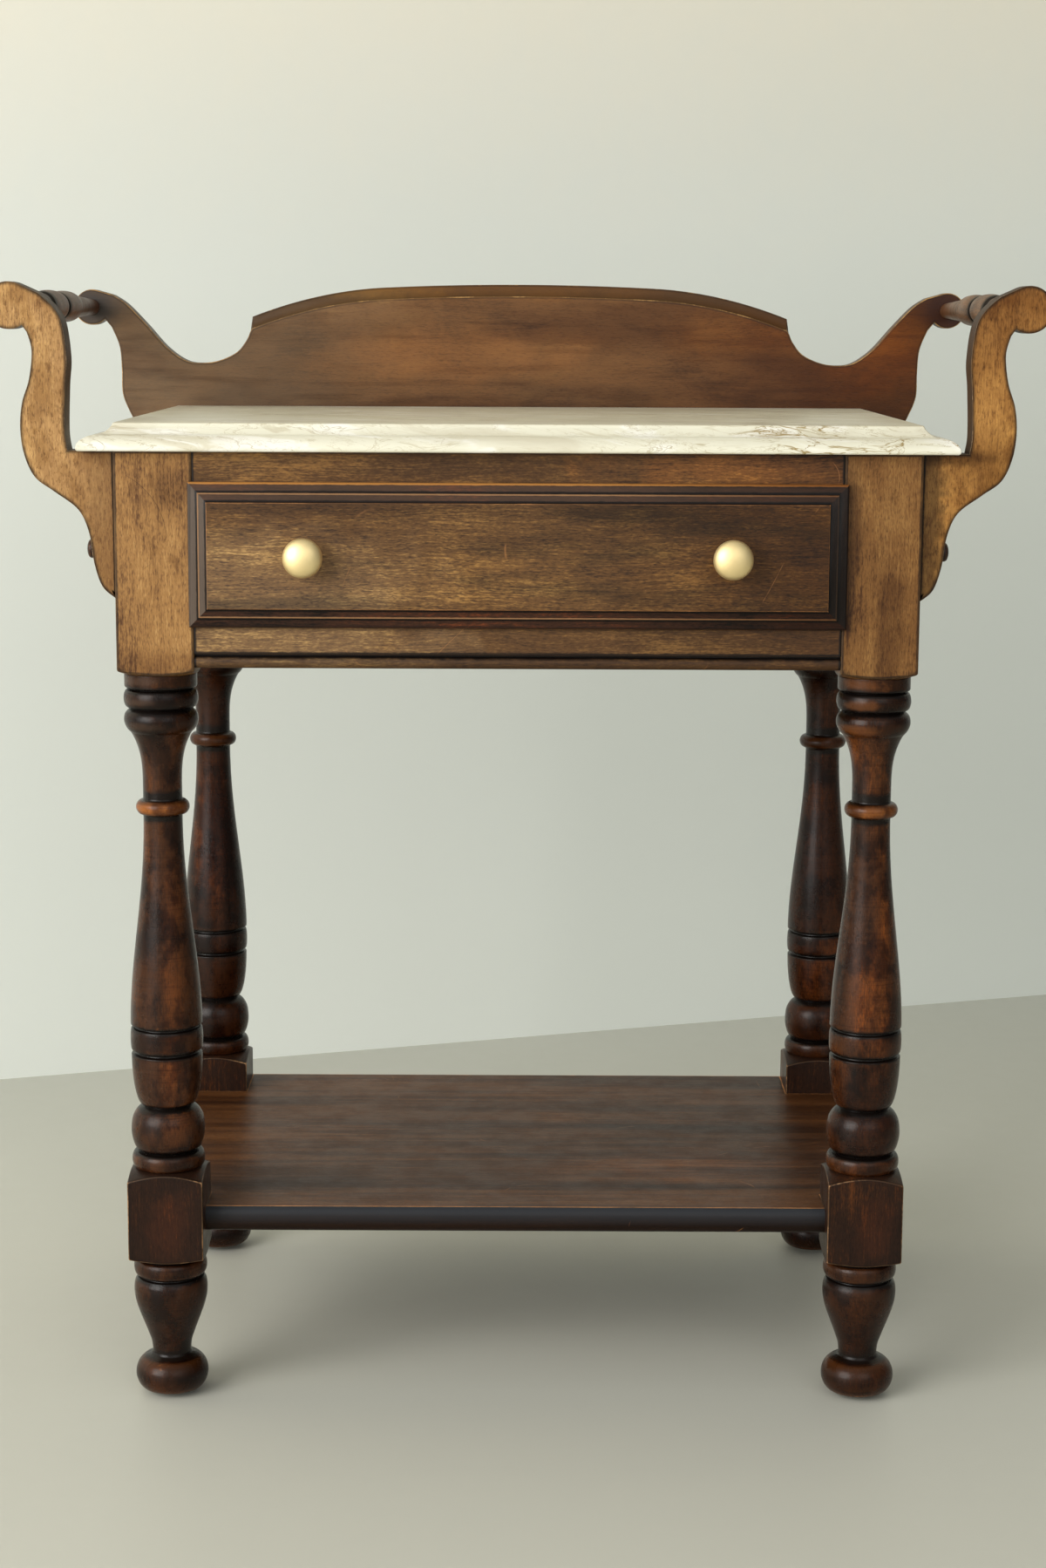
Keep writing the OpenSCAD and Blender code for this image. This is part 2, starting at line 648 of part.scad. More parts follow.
// One bar along +Z between its pins: necks that swell from the ends to two long bulbs,
// with a narrow groove between the bulbs and one beyond each
module bar_shape() {
    mid = bar_l / 2;
    bulb = 64;
    cut = 3;
    bulb_r = bar_d / 2;
    neck_top_r = bulb_r - 2.7;
    cut_r = bulb_r - 3.4;
    pin_r = bar_pin_d / 2;
    end_r = pin_r + 0.6;
    neck_l = mid - bulb - 3 * cut;
    half_bar = concat(
        [[pin_r, -bar_pin_l], [pin_r, 0]],
        [for (i = [0:8]) [end_r + (neck_top_r - end_r) * pow(i / 8, 1.2), neck_l * i / 8]],
        [[cut_r, neck_l + cut]],
        bead(mid - bulb - cut, mid - cut, bulb_r - 2, bulb_r, 12),
        [[cut_r, mid - cut / 2]]);
    last = len(half_bar) - 1;
    turned(concat(half_bar, [for (i = [last:-1:0]) [half_bar[i][0], bar_l - half_bar[i][1]]]));
}

module towel_bar_right() color(stain_dark)
    translate([lobe_x, bar_y, bar_z]) rotate([-90, 0, 0]) bar_shape();
module towel_bar_left() on_side(-1) towel_bar_right();

// ---------- Shelf ----------

module shelf() color(stain_black) {
    nose_r = 6;
    top = shelf_z + shelf_t;
    section = concat(
        arc([shelf_front_y + nose_r, top - nose_r], nose_r, 90, 180, 5),
        arc([shelf_front_y + nose_r, shelf_z + nose_r], nose_r, 180, 270, 5),
        [[back_y, shelf_z], [back_y, top]]);
    difference() {
        bar_x(section, -shelf_half, shelf_half);
        for (s = [-1, 1]) on_side(s) {
            block([post_in, front_y - 1, shelf_z - 1], [post_out, front_in_y, top + 1]);
            block([post_in, back_in_y, shelf_z - 1], [post_out, back_y + 1, top + 1]);
            for (y = [front_dowel_y, back_leg_y])
                rod_x([post_in - dowel_l / 2 - end_gap, y, dowel_z], bore_dowel_d, dowel_l);
        }
    }
}

module shelf_dowels() color(plain_wood) for (s = [-1, 1], y = [front_dowel_y, back_leg_y]) on_side(s)
    rod_x([post_in - dowel_l / 2, y, dowel_z], dowel_d, dowel_l);

marble_slab();
leg_front_left();
leg_front_right();
leg_back_left();
leg_back_right();
foot_glides();
front_top_rail();
front_lower_rail();
rail_bead();
side_apron_left();
side_apron_right();
back_apron();
drawer_runner_left();
drawer_runner_right();
drawer_guide_left();
drawer_guide_right();
drawer_kicker_left();
drawer_kicker_right();
drawer_front();
drawer_side_left();
drawer_side_right();
drawer_back();
drawer_bottom();
knob_left();
knob_right();
knob_screws();
front_arm_left();
front_arm_right();
arm_screws();
arm_plugs();
arm_dowels();
back_board();
back_board_screws();
towel_bar_left();
towel_bar_right();
shelf();
shelf_dowels();
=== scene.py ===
"""Washstand with a marble top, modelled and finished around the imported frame.

Shape tables are in millimetres, as a maker would note them; MM turns them into metres.
"""
import math
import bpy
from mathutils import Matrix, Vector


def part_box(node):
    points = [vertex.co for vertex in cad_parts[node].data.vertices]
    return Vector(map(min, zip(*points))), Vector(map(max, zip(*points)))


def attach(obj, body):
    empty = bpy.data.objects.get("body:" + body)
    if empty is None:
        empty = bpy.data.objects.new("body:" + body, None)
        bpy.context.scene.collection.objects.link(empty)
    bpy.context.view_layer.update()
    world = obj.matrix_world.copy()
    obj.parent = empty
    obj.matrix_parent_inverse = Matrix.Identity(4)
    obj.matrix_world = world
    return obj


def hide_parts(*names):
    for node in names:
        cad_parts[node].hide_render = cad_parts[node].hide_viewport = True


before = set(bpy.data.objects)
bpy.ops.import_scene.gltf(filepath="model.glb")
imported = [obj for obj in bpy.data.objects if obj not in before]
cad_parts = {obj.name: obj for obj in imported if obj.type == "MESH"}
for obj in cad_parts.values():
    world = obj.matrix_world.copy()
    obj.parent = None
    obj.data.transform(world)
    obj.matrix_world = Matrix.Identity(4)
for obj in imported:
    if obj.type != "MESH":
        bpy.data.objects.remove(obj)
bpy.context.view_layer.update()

from types import SimpleNamespace

import bmesh
import bpy
from mathutils import Matrix, Vector
from mathutils.kdtree import KDTree

bl_info = {
    "name": "Washstand with a marble top",
    "version": (1, 0, 0),
    "blender": (4, 5, 0),
    "location": "View3D > Sidebar > Washstand",
    "description": "Models and finishes a washstand with a drawer, towel bars and a marble slab",
    "category": "Add Mesh",
}

MM = 0.001


# ---- places taken from the frame

def corners(node):
    """Lowest and highest corner of a CAD node, in millimetres."""
    low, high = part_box(node)
    return low / MM, high / MM


POST_LOW, POST_HIGH = corners("leg_front_right")
BACK_POST_LOW, BACK_POST_HIGH = corners("leg_back_right")
SLAB_LOW, SLAB_HIGH = corners("marble_slab")
DRAWER_LOW, DRAWER_HIGH = corners("drawer_front")
SHELF_LOW, SHELF_HIGH = corners("shelf")
ARM_LOW, ARM_HIGH = corners("front_arm_right")
BOARD_LOW, BOARD_HIGH = corners("back_board")
APRON_LOW, APRON_HIGH = corners("side_apron_right")
BEAD_LOW, BEAD_HIGH = corners("rail_bead")
KNOB_LOW, KNOB_HIGH = corners("knob_right")
BAR_LOW, BAR_HIGH = corners("towel_bar_right")
PLUG_LOW, PLUG_HIGH = corners("arm_plugs")

CASE_TOP = POST_HIGH.z
POST_MIDDLE = (POST_LOW.x + POST_HIGH.x) / 2
HANDS = (("left", -1), ("right", 1))
TINY = 1e-6
LOW_BLOCK = (114.5, 174.0)
POST_BLOCK = (566.0, CASE_TOP)
TURN_R, GROOVE_R, NECK_R, NOTCH_R = 27.4, 24.6, 14.6, 19.8
LOBE_REACH = 73.5
BAR_RISE = (BAR_LOW.z + BAR_HIGH.z) / 2 - CASE_TOP
ARCH_HALF, ARCH_RISE, ARCH_SPRING = 230.0, 124.0, 28.0
COVE_HIGH, COVE_DEEP = 10.0, 5.0


def tone(red, green, blue):
    """A colour written as 0 to 255 on a screen, as the linear values that Blender mixes."""
    return tuple(
        v / 12.92 if v <= 0.04045 else ((v + 0.055) / 1.055) ** 2.4
        for v in (red / 255, green / 255, blue / 255)
    )


# ---- sizes and colours to change

def length_prop(name, description, default):
    return bpy.props.FloatProperty(
        name=name, description=description, default=default, min=0.0, unit="LENGTH", precision=4)


def colour_prop(name, description, rgb):
    return bpy.props.FloatVectorProperty(
        name=name, description=description, default=tone(*rgb), size=3, min=0.0, max=1.0,
        subtype="COLOR")


class WashstandSizes(bpy.types.PropertyGroup):
    """Finishing sizes of the pieces."""

    turned_steps: bpy.props.IntProperty(
        name="Turned steps", description="Faces round each turned piece", default=72, min=24,
        max=160,
    )
    turned_arris: length_prop("Turned arris", "Rounding of the corners of turned work", 0.0006)
    post_arris: length_prop("Post arris", "Rounding of the posts' edges", 0.0011)
    board_arris: length_prop("Board arris", "Rounding of the edges of arms and back board", 0.0017)
    rail_arris: length_prop("Rail arris", "Rounding of the edges of rails and aprons", 0.0006)
    moulding_arris: length_prop("Moulding arris", "Rounding of the drawer's mouldings", 0.0004)
    slab_arris: length_prop("Slab arris", "Rounding of the slab's corners", 0.0009)


class WashstandFinish(bpy.types.PropertyGroup):
    """Colours and wear of the finishes."""

    post_light: colour_prop("Post, light", "Golden wood of the square posts", (190, 148, 92))
    post_middle: colour_prop("Post, middle", "Mid stain of the square posts", (156, 114, 66))
    post_dark: colour_prop("Post, dark", "Dark stain patches of the square posts", (86, 54, 30))
    walnut_light: colour_prop("Walnut, light", "Red-brown lights of the turned legs", (124, 68, 27))
    walnut_middle: colour_prop("Walnut, middle", "Body colour of the turned legs", (66, 37, 18))
    # Walnut, dark is also laid on as painted shade in the recess over the bead and on the
    # right-hand drawer moulding, and in part as painted shadow beside the right post.
    walnut_dark: colour_prop("Walnut, dark", "Stain lying in the grooves", (16, 10, 8))
    case_light: colour_prop("Rails, light", "Golden streaks of rails and drawer", (152, 112, 62))
    case_middle: colour_prop("Rails, middle", "Mid brown of rails and drawer", (94, 65, 37))
    case_dark: colour_prop("Rails, dark", "Dark streaks of rails and drawer", (46, 31, 22))
    moulding: colour_prop("Moulding", "Dark stain of the drawer's mouldings", (60, 36, 24))
    arm_light: colour_prop("Arm, light", "Golden wood of the front arms", (190, 145, 86))
    arm_dark: colour_prop("Arm, dark", "Dark stain of the arms' edges", (50, 32, 20))
    board_middle: colour_prop("Back board", "Red-brown of the back board", (112, 76, 44))
    shelf_middle: colour_prop("Shelf", "Body colour of the shelf", (86, 52, 26))
    bar_middle: colour_prop("Towel bar", "Body colour of the towel bars", (104, 76, 52))
    bare_wood: colour_prop("Bare wood", "Unfinished wood inside the case", (186, 150, 106))
    rubbed: colour_prop("Rubbed edge", "Wood showing where the stain has worn off", (196, 134, 80))
    marble_cream: colour_prop("Marble, cream", "Ground colour of the slab", (230, 226, 205))
    marble_grey: colour_prop("Marble, cloud", "Clouds in the slab", (214, 207, 184))
    marble_vein: colour_prop("Marble, vein", "Tan veins of the slab", (152, 128, 72))
    brass: colour_prop("Brass", "Satin brass of the knobs", (255, 232, 176))
    wear: bpy.props.FloatProperty(
        name="Wear", description="How far the edges are rubbed through", default=0.75, min=0.0,
        max=1.0, subtype="FACTOR",
    )


# ---- lines and profiles

def arc(centre, radius, start, end, steps):
    """Points on an arc or, with two radii, on an oval; angles in degrees."""
    wide, high = radius if isinstance(radius, tuple) else (radius, radius)
    turns = [math.radians(start + (end - start) * i / steps) for i in range(steps + 1)]
    return [(centre[0] + wide * math.cos(a), centre[1] + high * math.sin(a)) for a in turns]


def spline(points, steps):
    """A smooth line through the points, with steps between each two of them."""
    line = []
    for i in range(len(points) - 1):
        a, b, c, d = (Vector(points[min(max(k, 0), len(points) - 1)]) for k in range(i - 1, i + 3))
        for k in range(steps):
            t = k / steps
            line.append(tuple(
                (2 * b + (c - a) * t + (2 * a - 5 * b + 4 * c - d) * t * t
                 + (3 * b - a - 3 * c + d) * t ** 3) / 2
            ))
    return line + [tuple(points[-1])]


def bead(low, high, radius, crown, steps=14, full=1.0):
    """A turned bead between two heights, from radius out to crown; full below 1 squares it up."""
    return [
        (radius + (crown - radius) * max(0.0, math.sin(math.pi * i / steps)) ** full,
         low + (high - low) * (1 - math.cos(math.pi * i / steps)) / 2)
        for i in range(steps + 1)
    ]


def sweep(low, start, high, end, power=1.0, steps=24):
    """An ogee from one radius to another."""
    return [
        (start + (end - start) * (1 - math.cos(math.pi * (i / steps) ** power)) / 2,
         low + (high - low) * i / steps)
        for i in range(steps + 1)
    ]


def soften(line, reach):
    """The line with each sharp corner replaced by a short curve."""
    out = [line[0]]
    for a, b, c in zip(line, line[1:], line[2:]):
        a, b, c = Vector(a), Vector(b), Vector(c)
        before, after = a - b, c - b
        if before.length < TINY or after.length < TINY:
            continue
        if math.pi - before.angle(after) < math.radians(24):
            out.append(tuple(b))
            continue
        start = b + before * min(reach / before.length, 0.45)
        end = b + after * min(reach / after.length, 0.45)
        out += [tuple(start), tuple((start + 2 * b + end) / 4), tuple(end)]
    return out + [line[-1]]


def foot_line():
    """Foot of a leg, from the floor glide up into the low block."""
    top = LOW_BLOCK[0]
    return (
        [(0, POST_LOW.z), (15, POST_LOW.z), (19, POST_LOW.z + 0.6)]
        + arc((17, 16), (10.8, 13.5), -60, 80, 18)
        + [(NECK_R + 1, 31)]
        + spline([(NECK_R, 33), (NECK_R + 0.9, 41), (NECK_R + 3.2, 48), (NECK_R + 5, 53),
                  (NECK_R + 8, 61), (TURN_R - 1.9, 69), (TURN_R + 0.1, top - 37.5),
                  (TURN_R + 0.7, top - 30), (TURN_R, top - 24.5), (GROOVE_R + 0.8, top - 20.8)], 4)
        + [(GROOVE_R - 1.2, top - 20.4), (GROOVE_R - 1.2, top - 19.2)]
        + bead(top - 19, top - 6, GROOVE_R - 0.6, TURN_R + 0.6, full=0.7)
        + [(GROOVE_R, top - 5), (GROOVE_R, top - 3), (0, top - 3)]
    )


def shaft_line():
    """Leg from the low block up into the post's block."""
    base, top = LOW_BLOCK[1], POST_BLOCK[0]
    low = (
        [(0, base + 6), (GROOVE_R, base + 6), (GROOVE_R, base + 6.5)]
        + bead(base + 7, base + 20, GROOVE_R - 1, TURN_R + 0.3, full=0.8)
        + spline([(GROOVE_R - 2.6, base + 20.6), (GROOVE_R + 0.7, base + 24), (TURN_R, base + 31),
                  (TURN_R + 0.5, base + 38), (TURN_R - 0.6, base + 46), (GROOVE_R - 0.9, base + 52),
                  (NOTCH_R, base + 55.4)], 5)
        + [(NOTCH_R - 0.8, base + 56)]
        + [(r, h + 5.6 * i / 12) for i, (r, h) in enumerate(
            arc((NOTCH_R, base + 90.6), (7, 34), -90, 0, 12))]
        + [(GROOVE_R - 0.4, base + 97.2), (GROOVE_R - 0.4, base + 98.8)]
        + bead(base + 99.2, base + 116.6, TURN_R - 1.6, TURN_R, 12, 0.6)
        + [(GROOVE_R - 0.4, base + 116.8), (GROOVE_R - 0.4, base + 118.6)]
    )
    high = (
        bead(top - 111.5, top - 100.5, NECK_R + 0.6, 20)
        + [(NECK_R, top - 99)]
        + [(NECK_R + 8.2 * (i / 16) ** 2.9, top - 90 + 41 * i / 16) for i in range(17)]
        + spline([(GROOVE_R - 1.2, top - 48.6), (GROOVE_R + 0.6, top - 46.6),
                  (TURN_R - 0.5, top - 43.4), (TURN_R + 0.3, top - 39.5), (TURN_R - 0.7, top - 35),
                  (GROOVE_R - 1, top - 31.6)], 5)
        + [(GROOVE_R - 1.6, top - 31)]
        + bead(top - 30.6, top - 16.8, GROOVE_R - 1, TURN_R + 0.3, 18, 0.75)
        + [(GROOVE_R - 1.4, top - 16.4), (TURN_R - 1.2, top - 15.6), (TURN_R - 0.4, top - 14.6)]
        + [(TURN_R - 0.4, top - 5)]
        + [(GROOVE_R, top - 4), (GROOVE_R, top - 2), (0, top - 2)]
    )
    return low + sweep(base + 119.2, TURN_R - 0.3, top - 113, NECK_R, 0.92, 34) + high


def bar_line(length):
    """Half of a towel bar mirrored: a taper and a long bead each side of the middle groove."""
    half = length / 2
    line = [(6.6 + 3.2 * (i / 20) ** 1.2, 113 * i / 20) for i in range(21)]
    line += [(9.1, 116)] + bead(119, 183, 10.5, 12.5, 18) + [(9.1, half - 1.5)]
    return [(0, 0)] + line + [(r, length - h) for r, h in reversed(line)] + [(0, length)]


def knob_line():
    """Knob from its seat on the drawer outwards."""
    return (
        [(0, 0), (7, 0), (7, 1.2), (5.6, 2.4)]
        + sweep(3, 5.2, 7, 4.8, 1.0, 6)
        + arc((0, 15.4), (14.5, 8.6), -66, 86, 30)
        + [(0, 24)]
    )


def arm_outline():
    """Outline of the right front arm as (x, z)."""
    rise = BAR_RISE
    inner = spline([(33, 0), (34.7, 14), (33.6, 46), (32.2, rise - 37.5), (35.2, rise - 12.5),
                    (41.7, rise - 0.5), (52, rise + 9)], 8)
    lobe = arc((LOBE_REACH, rise), 17, 118, -124, 44)
    outer = spline([(60.5, rise - 19), (57.3, rise - 32.5), (59.7, rise - 52.5),
                    (65.1, rise - 69.5), (66.9, 16), (64.5, -3), (57, -19.5), (43, -30), (26, -43),
                    (18.5, -60), (15.2, -82), (9.5, -99), (0, -107.5)], 8)
    return [(POST_HIGH.x + x, CASE_TOP + z) for x, z in [(0, 0)] + inner + lobe + outer]


def arch_height(x):
    """Height of the arch over the case, flatter in the middle than at its ends."""
    t = abs(x) / ARCH_HALF
    return ARCH_RISE - ARCH_SPRING * (0.4 * t * t + 0.6 * max(0.0, (t - 0.5) / 0.5) ** 2)


def board_outline(drop):
    """Outline of the back board as (x, z), its arch lowered by drop."""
    rise, edge = BAR_RISE, ARCH_HALF - POST_HIGH.x
    foot = BOARD_LOW.z - CASE_TOP
    end = spline([(12, foot), (16, -60), (20.5, -34), (30, -10), (42, 13), (48.5, 30), (49, 50),
                  (50.5, 70), (57, rise - 17)], 8)
    end += arc((LOBE_REACH, rise), 15, -137, 112, 40)
    end += spline([(LOBE_REACH - 18, rise + 10.5), (LOBE_REACH - 30, rise + 2.5),
                   (LOBE_REACH - 46, rise - 14), (10, 70), (-6, 58.8), (-20, 56.5), (-35, 58.6),
                   (edge + 14, 65.5), (edge + 5.5, 75.5), (edge + 2, 83)], 8)
    right = [(POST_HIGH.x + x, CASE_TOP + z) for x, z in end]
    arch_steps = 72
    across = [ARCH_HALF * (1 - 2 * i / arch_steps) for i in range(arch_steps + 1)]
    arch = [(x, CASE_TOP + arch_height(x) - drop) for x in across]
    return right + arch + [(-x, z) for x, z in reversed(right)]


# ---- mesh tools

NEAR_RELIEF, FAR_RELIEF = (3.5, 1.8), (13.0, 4.5)
RAIL_LOOP, BLOCK_LOOP, BLOCK_END_LOOP, DOME_LOOP = 2.2, 2.6, 2.4, 1.4
BOARD_LOOP, ARM_LOOP = 2.6, 3.2
SLIVER = 0.01


def new_mesh():
    """An empty mesh with the two layers that the finishes read."""
    bm = bmesh.new()
    bm.verts.layers.float.new("worn")
    bm.verts.layers.float.new("rim")
    return bm


def clamp(value, low=-1.0):
    return max(low, min(1.0, value))


def relief(line, span, depth):
    """How proud (+) or sunk (-) each point of a turned profile is beside what lies near it."""
    out = []
    for r, h in line:
        total = weight = 0.0
        for (r0, h0), (r1, h1) in zip(line, line[1:]):
            if r0 == 0 or r1 == 0:
                continue
            near = max(0.0, 1 - abs((h0 + h1) / 2 - h) / span) * math.hypot(r1 - r0, h1 - h0)
            total += near * (r0 + r1) / 2
            weight += near
        out.append(clamp((r - total / weight) / depth) if weight else 0.0)
    return out


def turn(bm, line, seat, steps, reach, tilt=0.0, axis="X"):
    """Spins a profile of (radius, height) upright, then tilts it and moves it to its seat."""
    line = soften(line, reach / MM)
    reliefs = zip(relief(line, *NEAR_RELIEF), relief(line, *FAR_RELIEF))
    marks = [clamp(0.65 * near + 0.6 * far) for near, far in reliefs]
    tree = KDTree(len(line))
    for i, (r, h) in enumerate(line):
        tree.insert((r * MM, 0, h * MM), i)
    tree.balance()
    verts = [bm.verts.new((r * MM, 0, h * MM)) for r, h in line]
    edges = [bm.edges.new(pair) for pair in zip(verts, verts[1:])]
    old = set(bm.verts) - set(verts)
    bmesh.ops.spin(bm, geom=verts + edges, cent=(0, 0, 0), axis=(0, 0, 1), angle=math.tau,
                   steps=steps, use_merge=True, use_duplicate=False)
    made = [v for v in bm.verts if v not in old]
    bmesh.ops.remove_doubles(bm, verts=made, dist=TINY)
    made = [v for v in bm.verts if v not in old]
    worn = bm.verts.layers.float["worn"]
    for v in made:
        v[worn] = marks[tree.find((math.hypot(v.co.x, v.co.y), 0, v.co.z))[1]]
    matrix = Matrix.Translation(Vector(seat) * MM) @ Matrix.Rotation(tilt, 4, axis)
    bmesh.ops.transform(bm, matrix=matrix, verts=made)


def loft(bm, rings):
    """A closed solid through rings of equal count, each extruded from the one before."""
    before = set(bm.verts)
    face = bm.faces.new([bm.verts.new(Vector(p) * MM) for p in rings[0]])
    for ring in rings[1:]:
        face = bmesh.ops.extrude_discrete_faces(bm, faces=[face])["faces"][0]
        for v, place in zip(face.verts, ring):
            v.co = Vector(place) * MM
    open_edges = [e for e in bm.edges if len(e.link_faces) == 1]
    bmesh.ops.holes_fill(bm, edges=open_edges, sides=0)
    return [v for v in bm.verts if v not in before]


def round_edges(bm, edges, offset, segments):
    bmesh.ops.bevel(bm, geom=edges, offset=offset, offset_type="OFFSET", segments=segments,
                    profile=0.5, affect="EDGES", clamp_overlap=True, material=-1)


def arrises(bm, verts, offset, segments=3, least=50.0):
    """Rounds the sharp outward edges between these vertices."""
    keep = set(verts)
    bmesh.ops.recalc_face_normals(bm, faces=bm.faces)
    sharp = [
        e for e in bm.edges
        if len(e.link_faces) == 2 and e.verts[0] in keep and e.verts[1] in keep
        and e.calc_face_angle_signed(0.0) > math.radians(least)
    ]
    round_edges(bm, sharp, offset, segments)


def cut_loops(bm, axis, places, spared=()):
    """Cuts loops across an axis at places in millimetres, so that wear stays beside the arrises."""
    for place in places:
        near = [v for v in bm.verts if v not in spared]
        geom = list({g for v in near for g in (v, *v.link_edges, *v.link_faces)})
        point, along = Vector(), Vector()
        point[axis], along[axis] = place * MM, 1
        bmesh.ops.bisect_plane(bm, geom=geom, dist=TINY, plane_co=point, plane_no=along)


def inset_broad(bm, margin, corners_over=8, area_over=1.0):
    """Adds a loop just inside each broad face, so that wear stays beside the arrises."""
    broad = [f for f in bm.faces if len(f.verts) > corners_over or f.calc_area() > area_over]
    bmesh.ops.inset_individual(bm, faces=broad, thickness=margin, depth=0, use_even_offset=True)
    bmesh.ops.dissolve_degenerate(bm, dist=SLIVER * MM, edges=bm.edges)


def mark_arrises(bm, radius=0.0011):
    """Writes each vertex's outward (+) or inward (-) bend into the worn layer."""
    worn = bm.verts.layers.float["worn"]
    bmesh.ops.recalc_face_normals(bm, faces=bm.faces)
    for v in bm.verts:
        bend = sum(
            e.calc_length() * e.calc_face_angle_signed(0.0)
            for e in v.link_edges if len(e.link_faces) == 2
        )
        share = sum(f.calc_area() / len(f.verts) for f in v.link_faces)
        v[worn] = clamp(bend / max(share, 1e-12) / 4 * radius)


def mark_rim(bm, axis, low, high, reach):
    """Writes 0 on the two faces of a board and 1 on its edges into the rim layer."""
    rim = bm.verts.layers.float["rim"]
    for v in bm.verts:
        deep = min(v.co[axis] - low * MM, high * MM - v.co[axis])
        v[rim] = clamp(deep / reach, 0.0)


def box_matrix(low, high):
    """The matrix that takes a unit cube to a box given in millimetres."""
    low, high = Vector(low) * MM, Vector(high) * MM
    return Matrix.Translation((low + high) / 2) @ Matrix.Diagonal((*(high - low), 1))


def beam(bm, low, high, arris):
    """A squared length of wood with rounded arrises."""
    made = bmesh.ops.create_cube(bm, size=1, matrix=box_matrix(low, high))["verts"]
    arrises(bm, made, arris)
    for axis in range(3):
        cut_loops(bm, axis, (low[axis] + RAIL_LOOP, high[axis] - RAIL_LOOP))


def domed_block(bm, low, high, under, over, arris):
    """A square block of a leg whose ends are turned to a shallow cone."""
    corner, flat, cuts = 42.75, 23.5, 13
    axis = (Vector(low) + Vector(high)) / 2 * MM
    before = set(bm.verts)
    cube = bmesh.ops.create_cube(bm, size=1, matrix=box_matrix(low, high))["verts"]
    edges = list({e for v in cube for e in v.link_edges})
    bmesh.ops.subdivide_edges(bm, edges=edges, cuts=cuts, use_grid_fill=True)
    made = [v for v in bm.verts if v not in before]
    for v in made:
        reach = math.hypot(v.co.x - axis.x, v.co.y - axis.y) / MM
        fall = min(1.0, (corner - reach) / (corner - flat)) * MM
        if abs(v.co.z - low[2] * MM) < TINY:
            v.co.z -= under * fall
        elif abs(v.co.z - high[2] * MM) < TINY:
            v.co.z += over * fall
    arrises(bm, made, arris)
    for axis in (0, 1):
        cut_loops(bm, axis, (low[axis] + BLOCK_LOOP, high[axis] - BLOCK_LOOP), before)
    rises = (low[2] + BLOCK_END_LOOP, low[2] - DOME_LOOP, high[2] - BLOCK_END_LOOP)
    cut_loops(bm, 2, rises, before)


def rectangle(left, right, low, high):
    return [(left, low), (right, low), (right, high), (left, high)]


def mirror_x(bm):
    """Turns a right-hand mesh into its left-hand twin."""
    bmesh.ops.scale(bm, vec=(-1, 1, 1), verts=bm.verts)


def link(item):
    bpy.context.scene.collection.objects.link(item)
    return item


def link_mesh(bm, name, finishes):
    """Makes the finished mesh an object with its finishes."""
    mesh = bpy.data.meshes.new(name)
    bm.to_mesh(mesh)
    bm.free()
    for finish in finishes:
        mesh.materials.append(finish)
    return link(bpy.data.objects.new(name, mesh))


def add_piece(bm, name, finishes, nodes, body="stand", even=True):
    """Turns its faces outward, shades it, gives it its finishes, ties it to its body and hides the
    frame's parts that it replaces.
    """
    bmesh.ops.recalc_face_normals(bm, faces=bm.faces)
    piece = link_mesh(bm, name, finishes)
    piece.data.shade_smooth()
    piece.data.set_sharp_from_angle(angle=math.radians(40))
    if even:
        piece.modifiers.new("Even shading", "WEIGHTED_NORMAL").keep_sharp = True
    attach(piece, body)
    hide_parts(*nodes)


# ---- node helpers

HALF = (0.5, 0.5, 0.5)
GREY = (*HALF, 1)
BLACK = (0.0, 0.0, 0.0, 1)
ORIGIN = (0.0, 0.0, 0.0)


def add_node(tree, kind, inputs=None, **settings):
    """Adds a node; an input takes a socket to link or a plain value."""
    node = tree.nodes.new(kind)
    for key, value in settings.items():
        setattr(node, key, value)
    for key, value in (inputs or {}).items():
        socket = node.inputs[key]
        if isinstance(value, bpy.types.NodeSocket):
            tree.links.new(value, socket)
        else:
            short = socket.type == "RGBA" and len(value) == 3
            socket.default_value = (*value, 1) if short else value
    return node


def derive(kind, inputs, **settings):
    """The outputs of a new node, in the tree that its linked inputs are in."""
    tree = next(v for v in inputs.values() if isinstance(v, bpy.types.NodeSocket)).id_data
    return add_node(tree, kind, inputs, **settings).outputs


def maths(operation, *parts, clamp=False):
    return derive("ShaderNodeMath", dict(enumerate(parts)), operation=operation, use_clamp=clamp)[0]


def times(first, *others):
    """The product of sockets and plain numbers."""
    for other in others:
        first = maths("MULTIPLY", first, other)
    return first


def vectors(operation, *parts, **named):
    inputs = {**dict(enumerate(parts)), **named}
    outputs = derive("ShaderNodeVectorMath", inputs, operation=operation)
    return outputs["Value" if operation in ("LENGTH", "DOT_PRODUCT") else "Vector"]


def noise(vector, scale, detail=3.0, rough=0.55, twist=0.0, output="Fac"):
    return derive("ShaderNodeTexNoise", {
        "Vector": vector, "Scale": scale, "Detail": detail, "Roughness": rough, "Distortion": twist,
    })[output]


def swing(vector, *how):
    """Noise that swings about nought."""
    return maths("SUBTRACT", noise(vector, *how), 0.5)


def wander(place, scale, detail, reach):
    """The place, moved a little to and fro so that bands don't run straight."""
    drift = vectors("SUBTRACT", noise(place, scale, detail, output="Color"), HALF)
    return vectors("ADD", place, vectors("SCALE", drift, Scale=reach))


def step(value, low, high, start=0.0, end=1.0):
    """Smooth rise from start to end as the value goes from low to high."""
    return derive("ShaderNodeMapRange", {
        "Value": value, "From Min": low, "From Max": high, "To Min": start, "To Max": end,
    }, interpolation_type="SMOOTHSTEP")["Result"]


def mix(share, first, second, blend="MIX"):
    """Two colours mixed; the Mix node's colour sockets are its inputs 6 and 7 and its output 2."""
    inputs = {0: share, 6: first, 7: second}
    return derive("ShaderNodeMix", inputs, data_type="RGBA", blend_type=blend)[2]


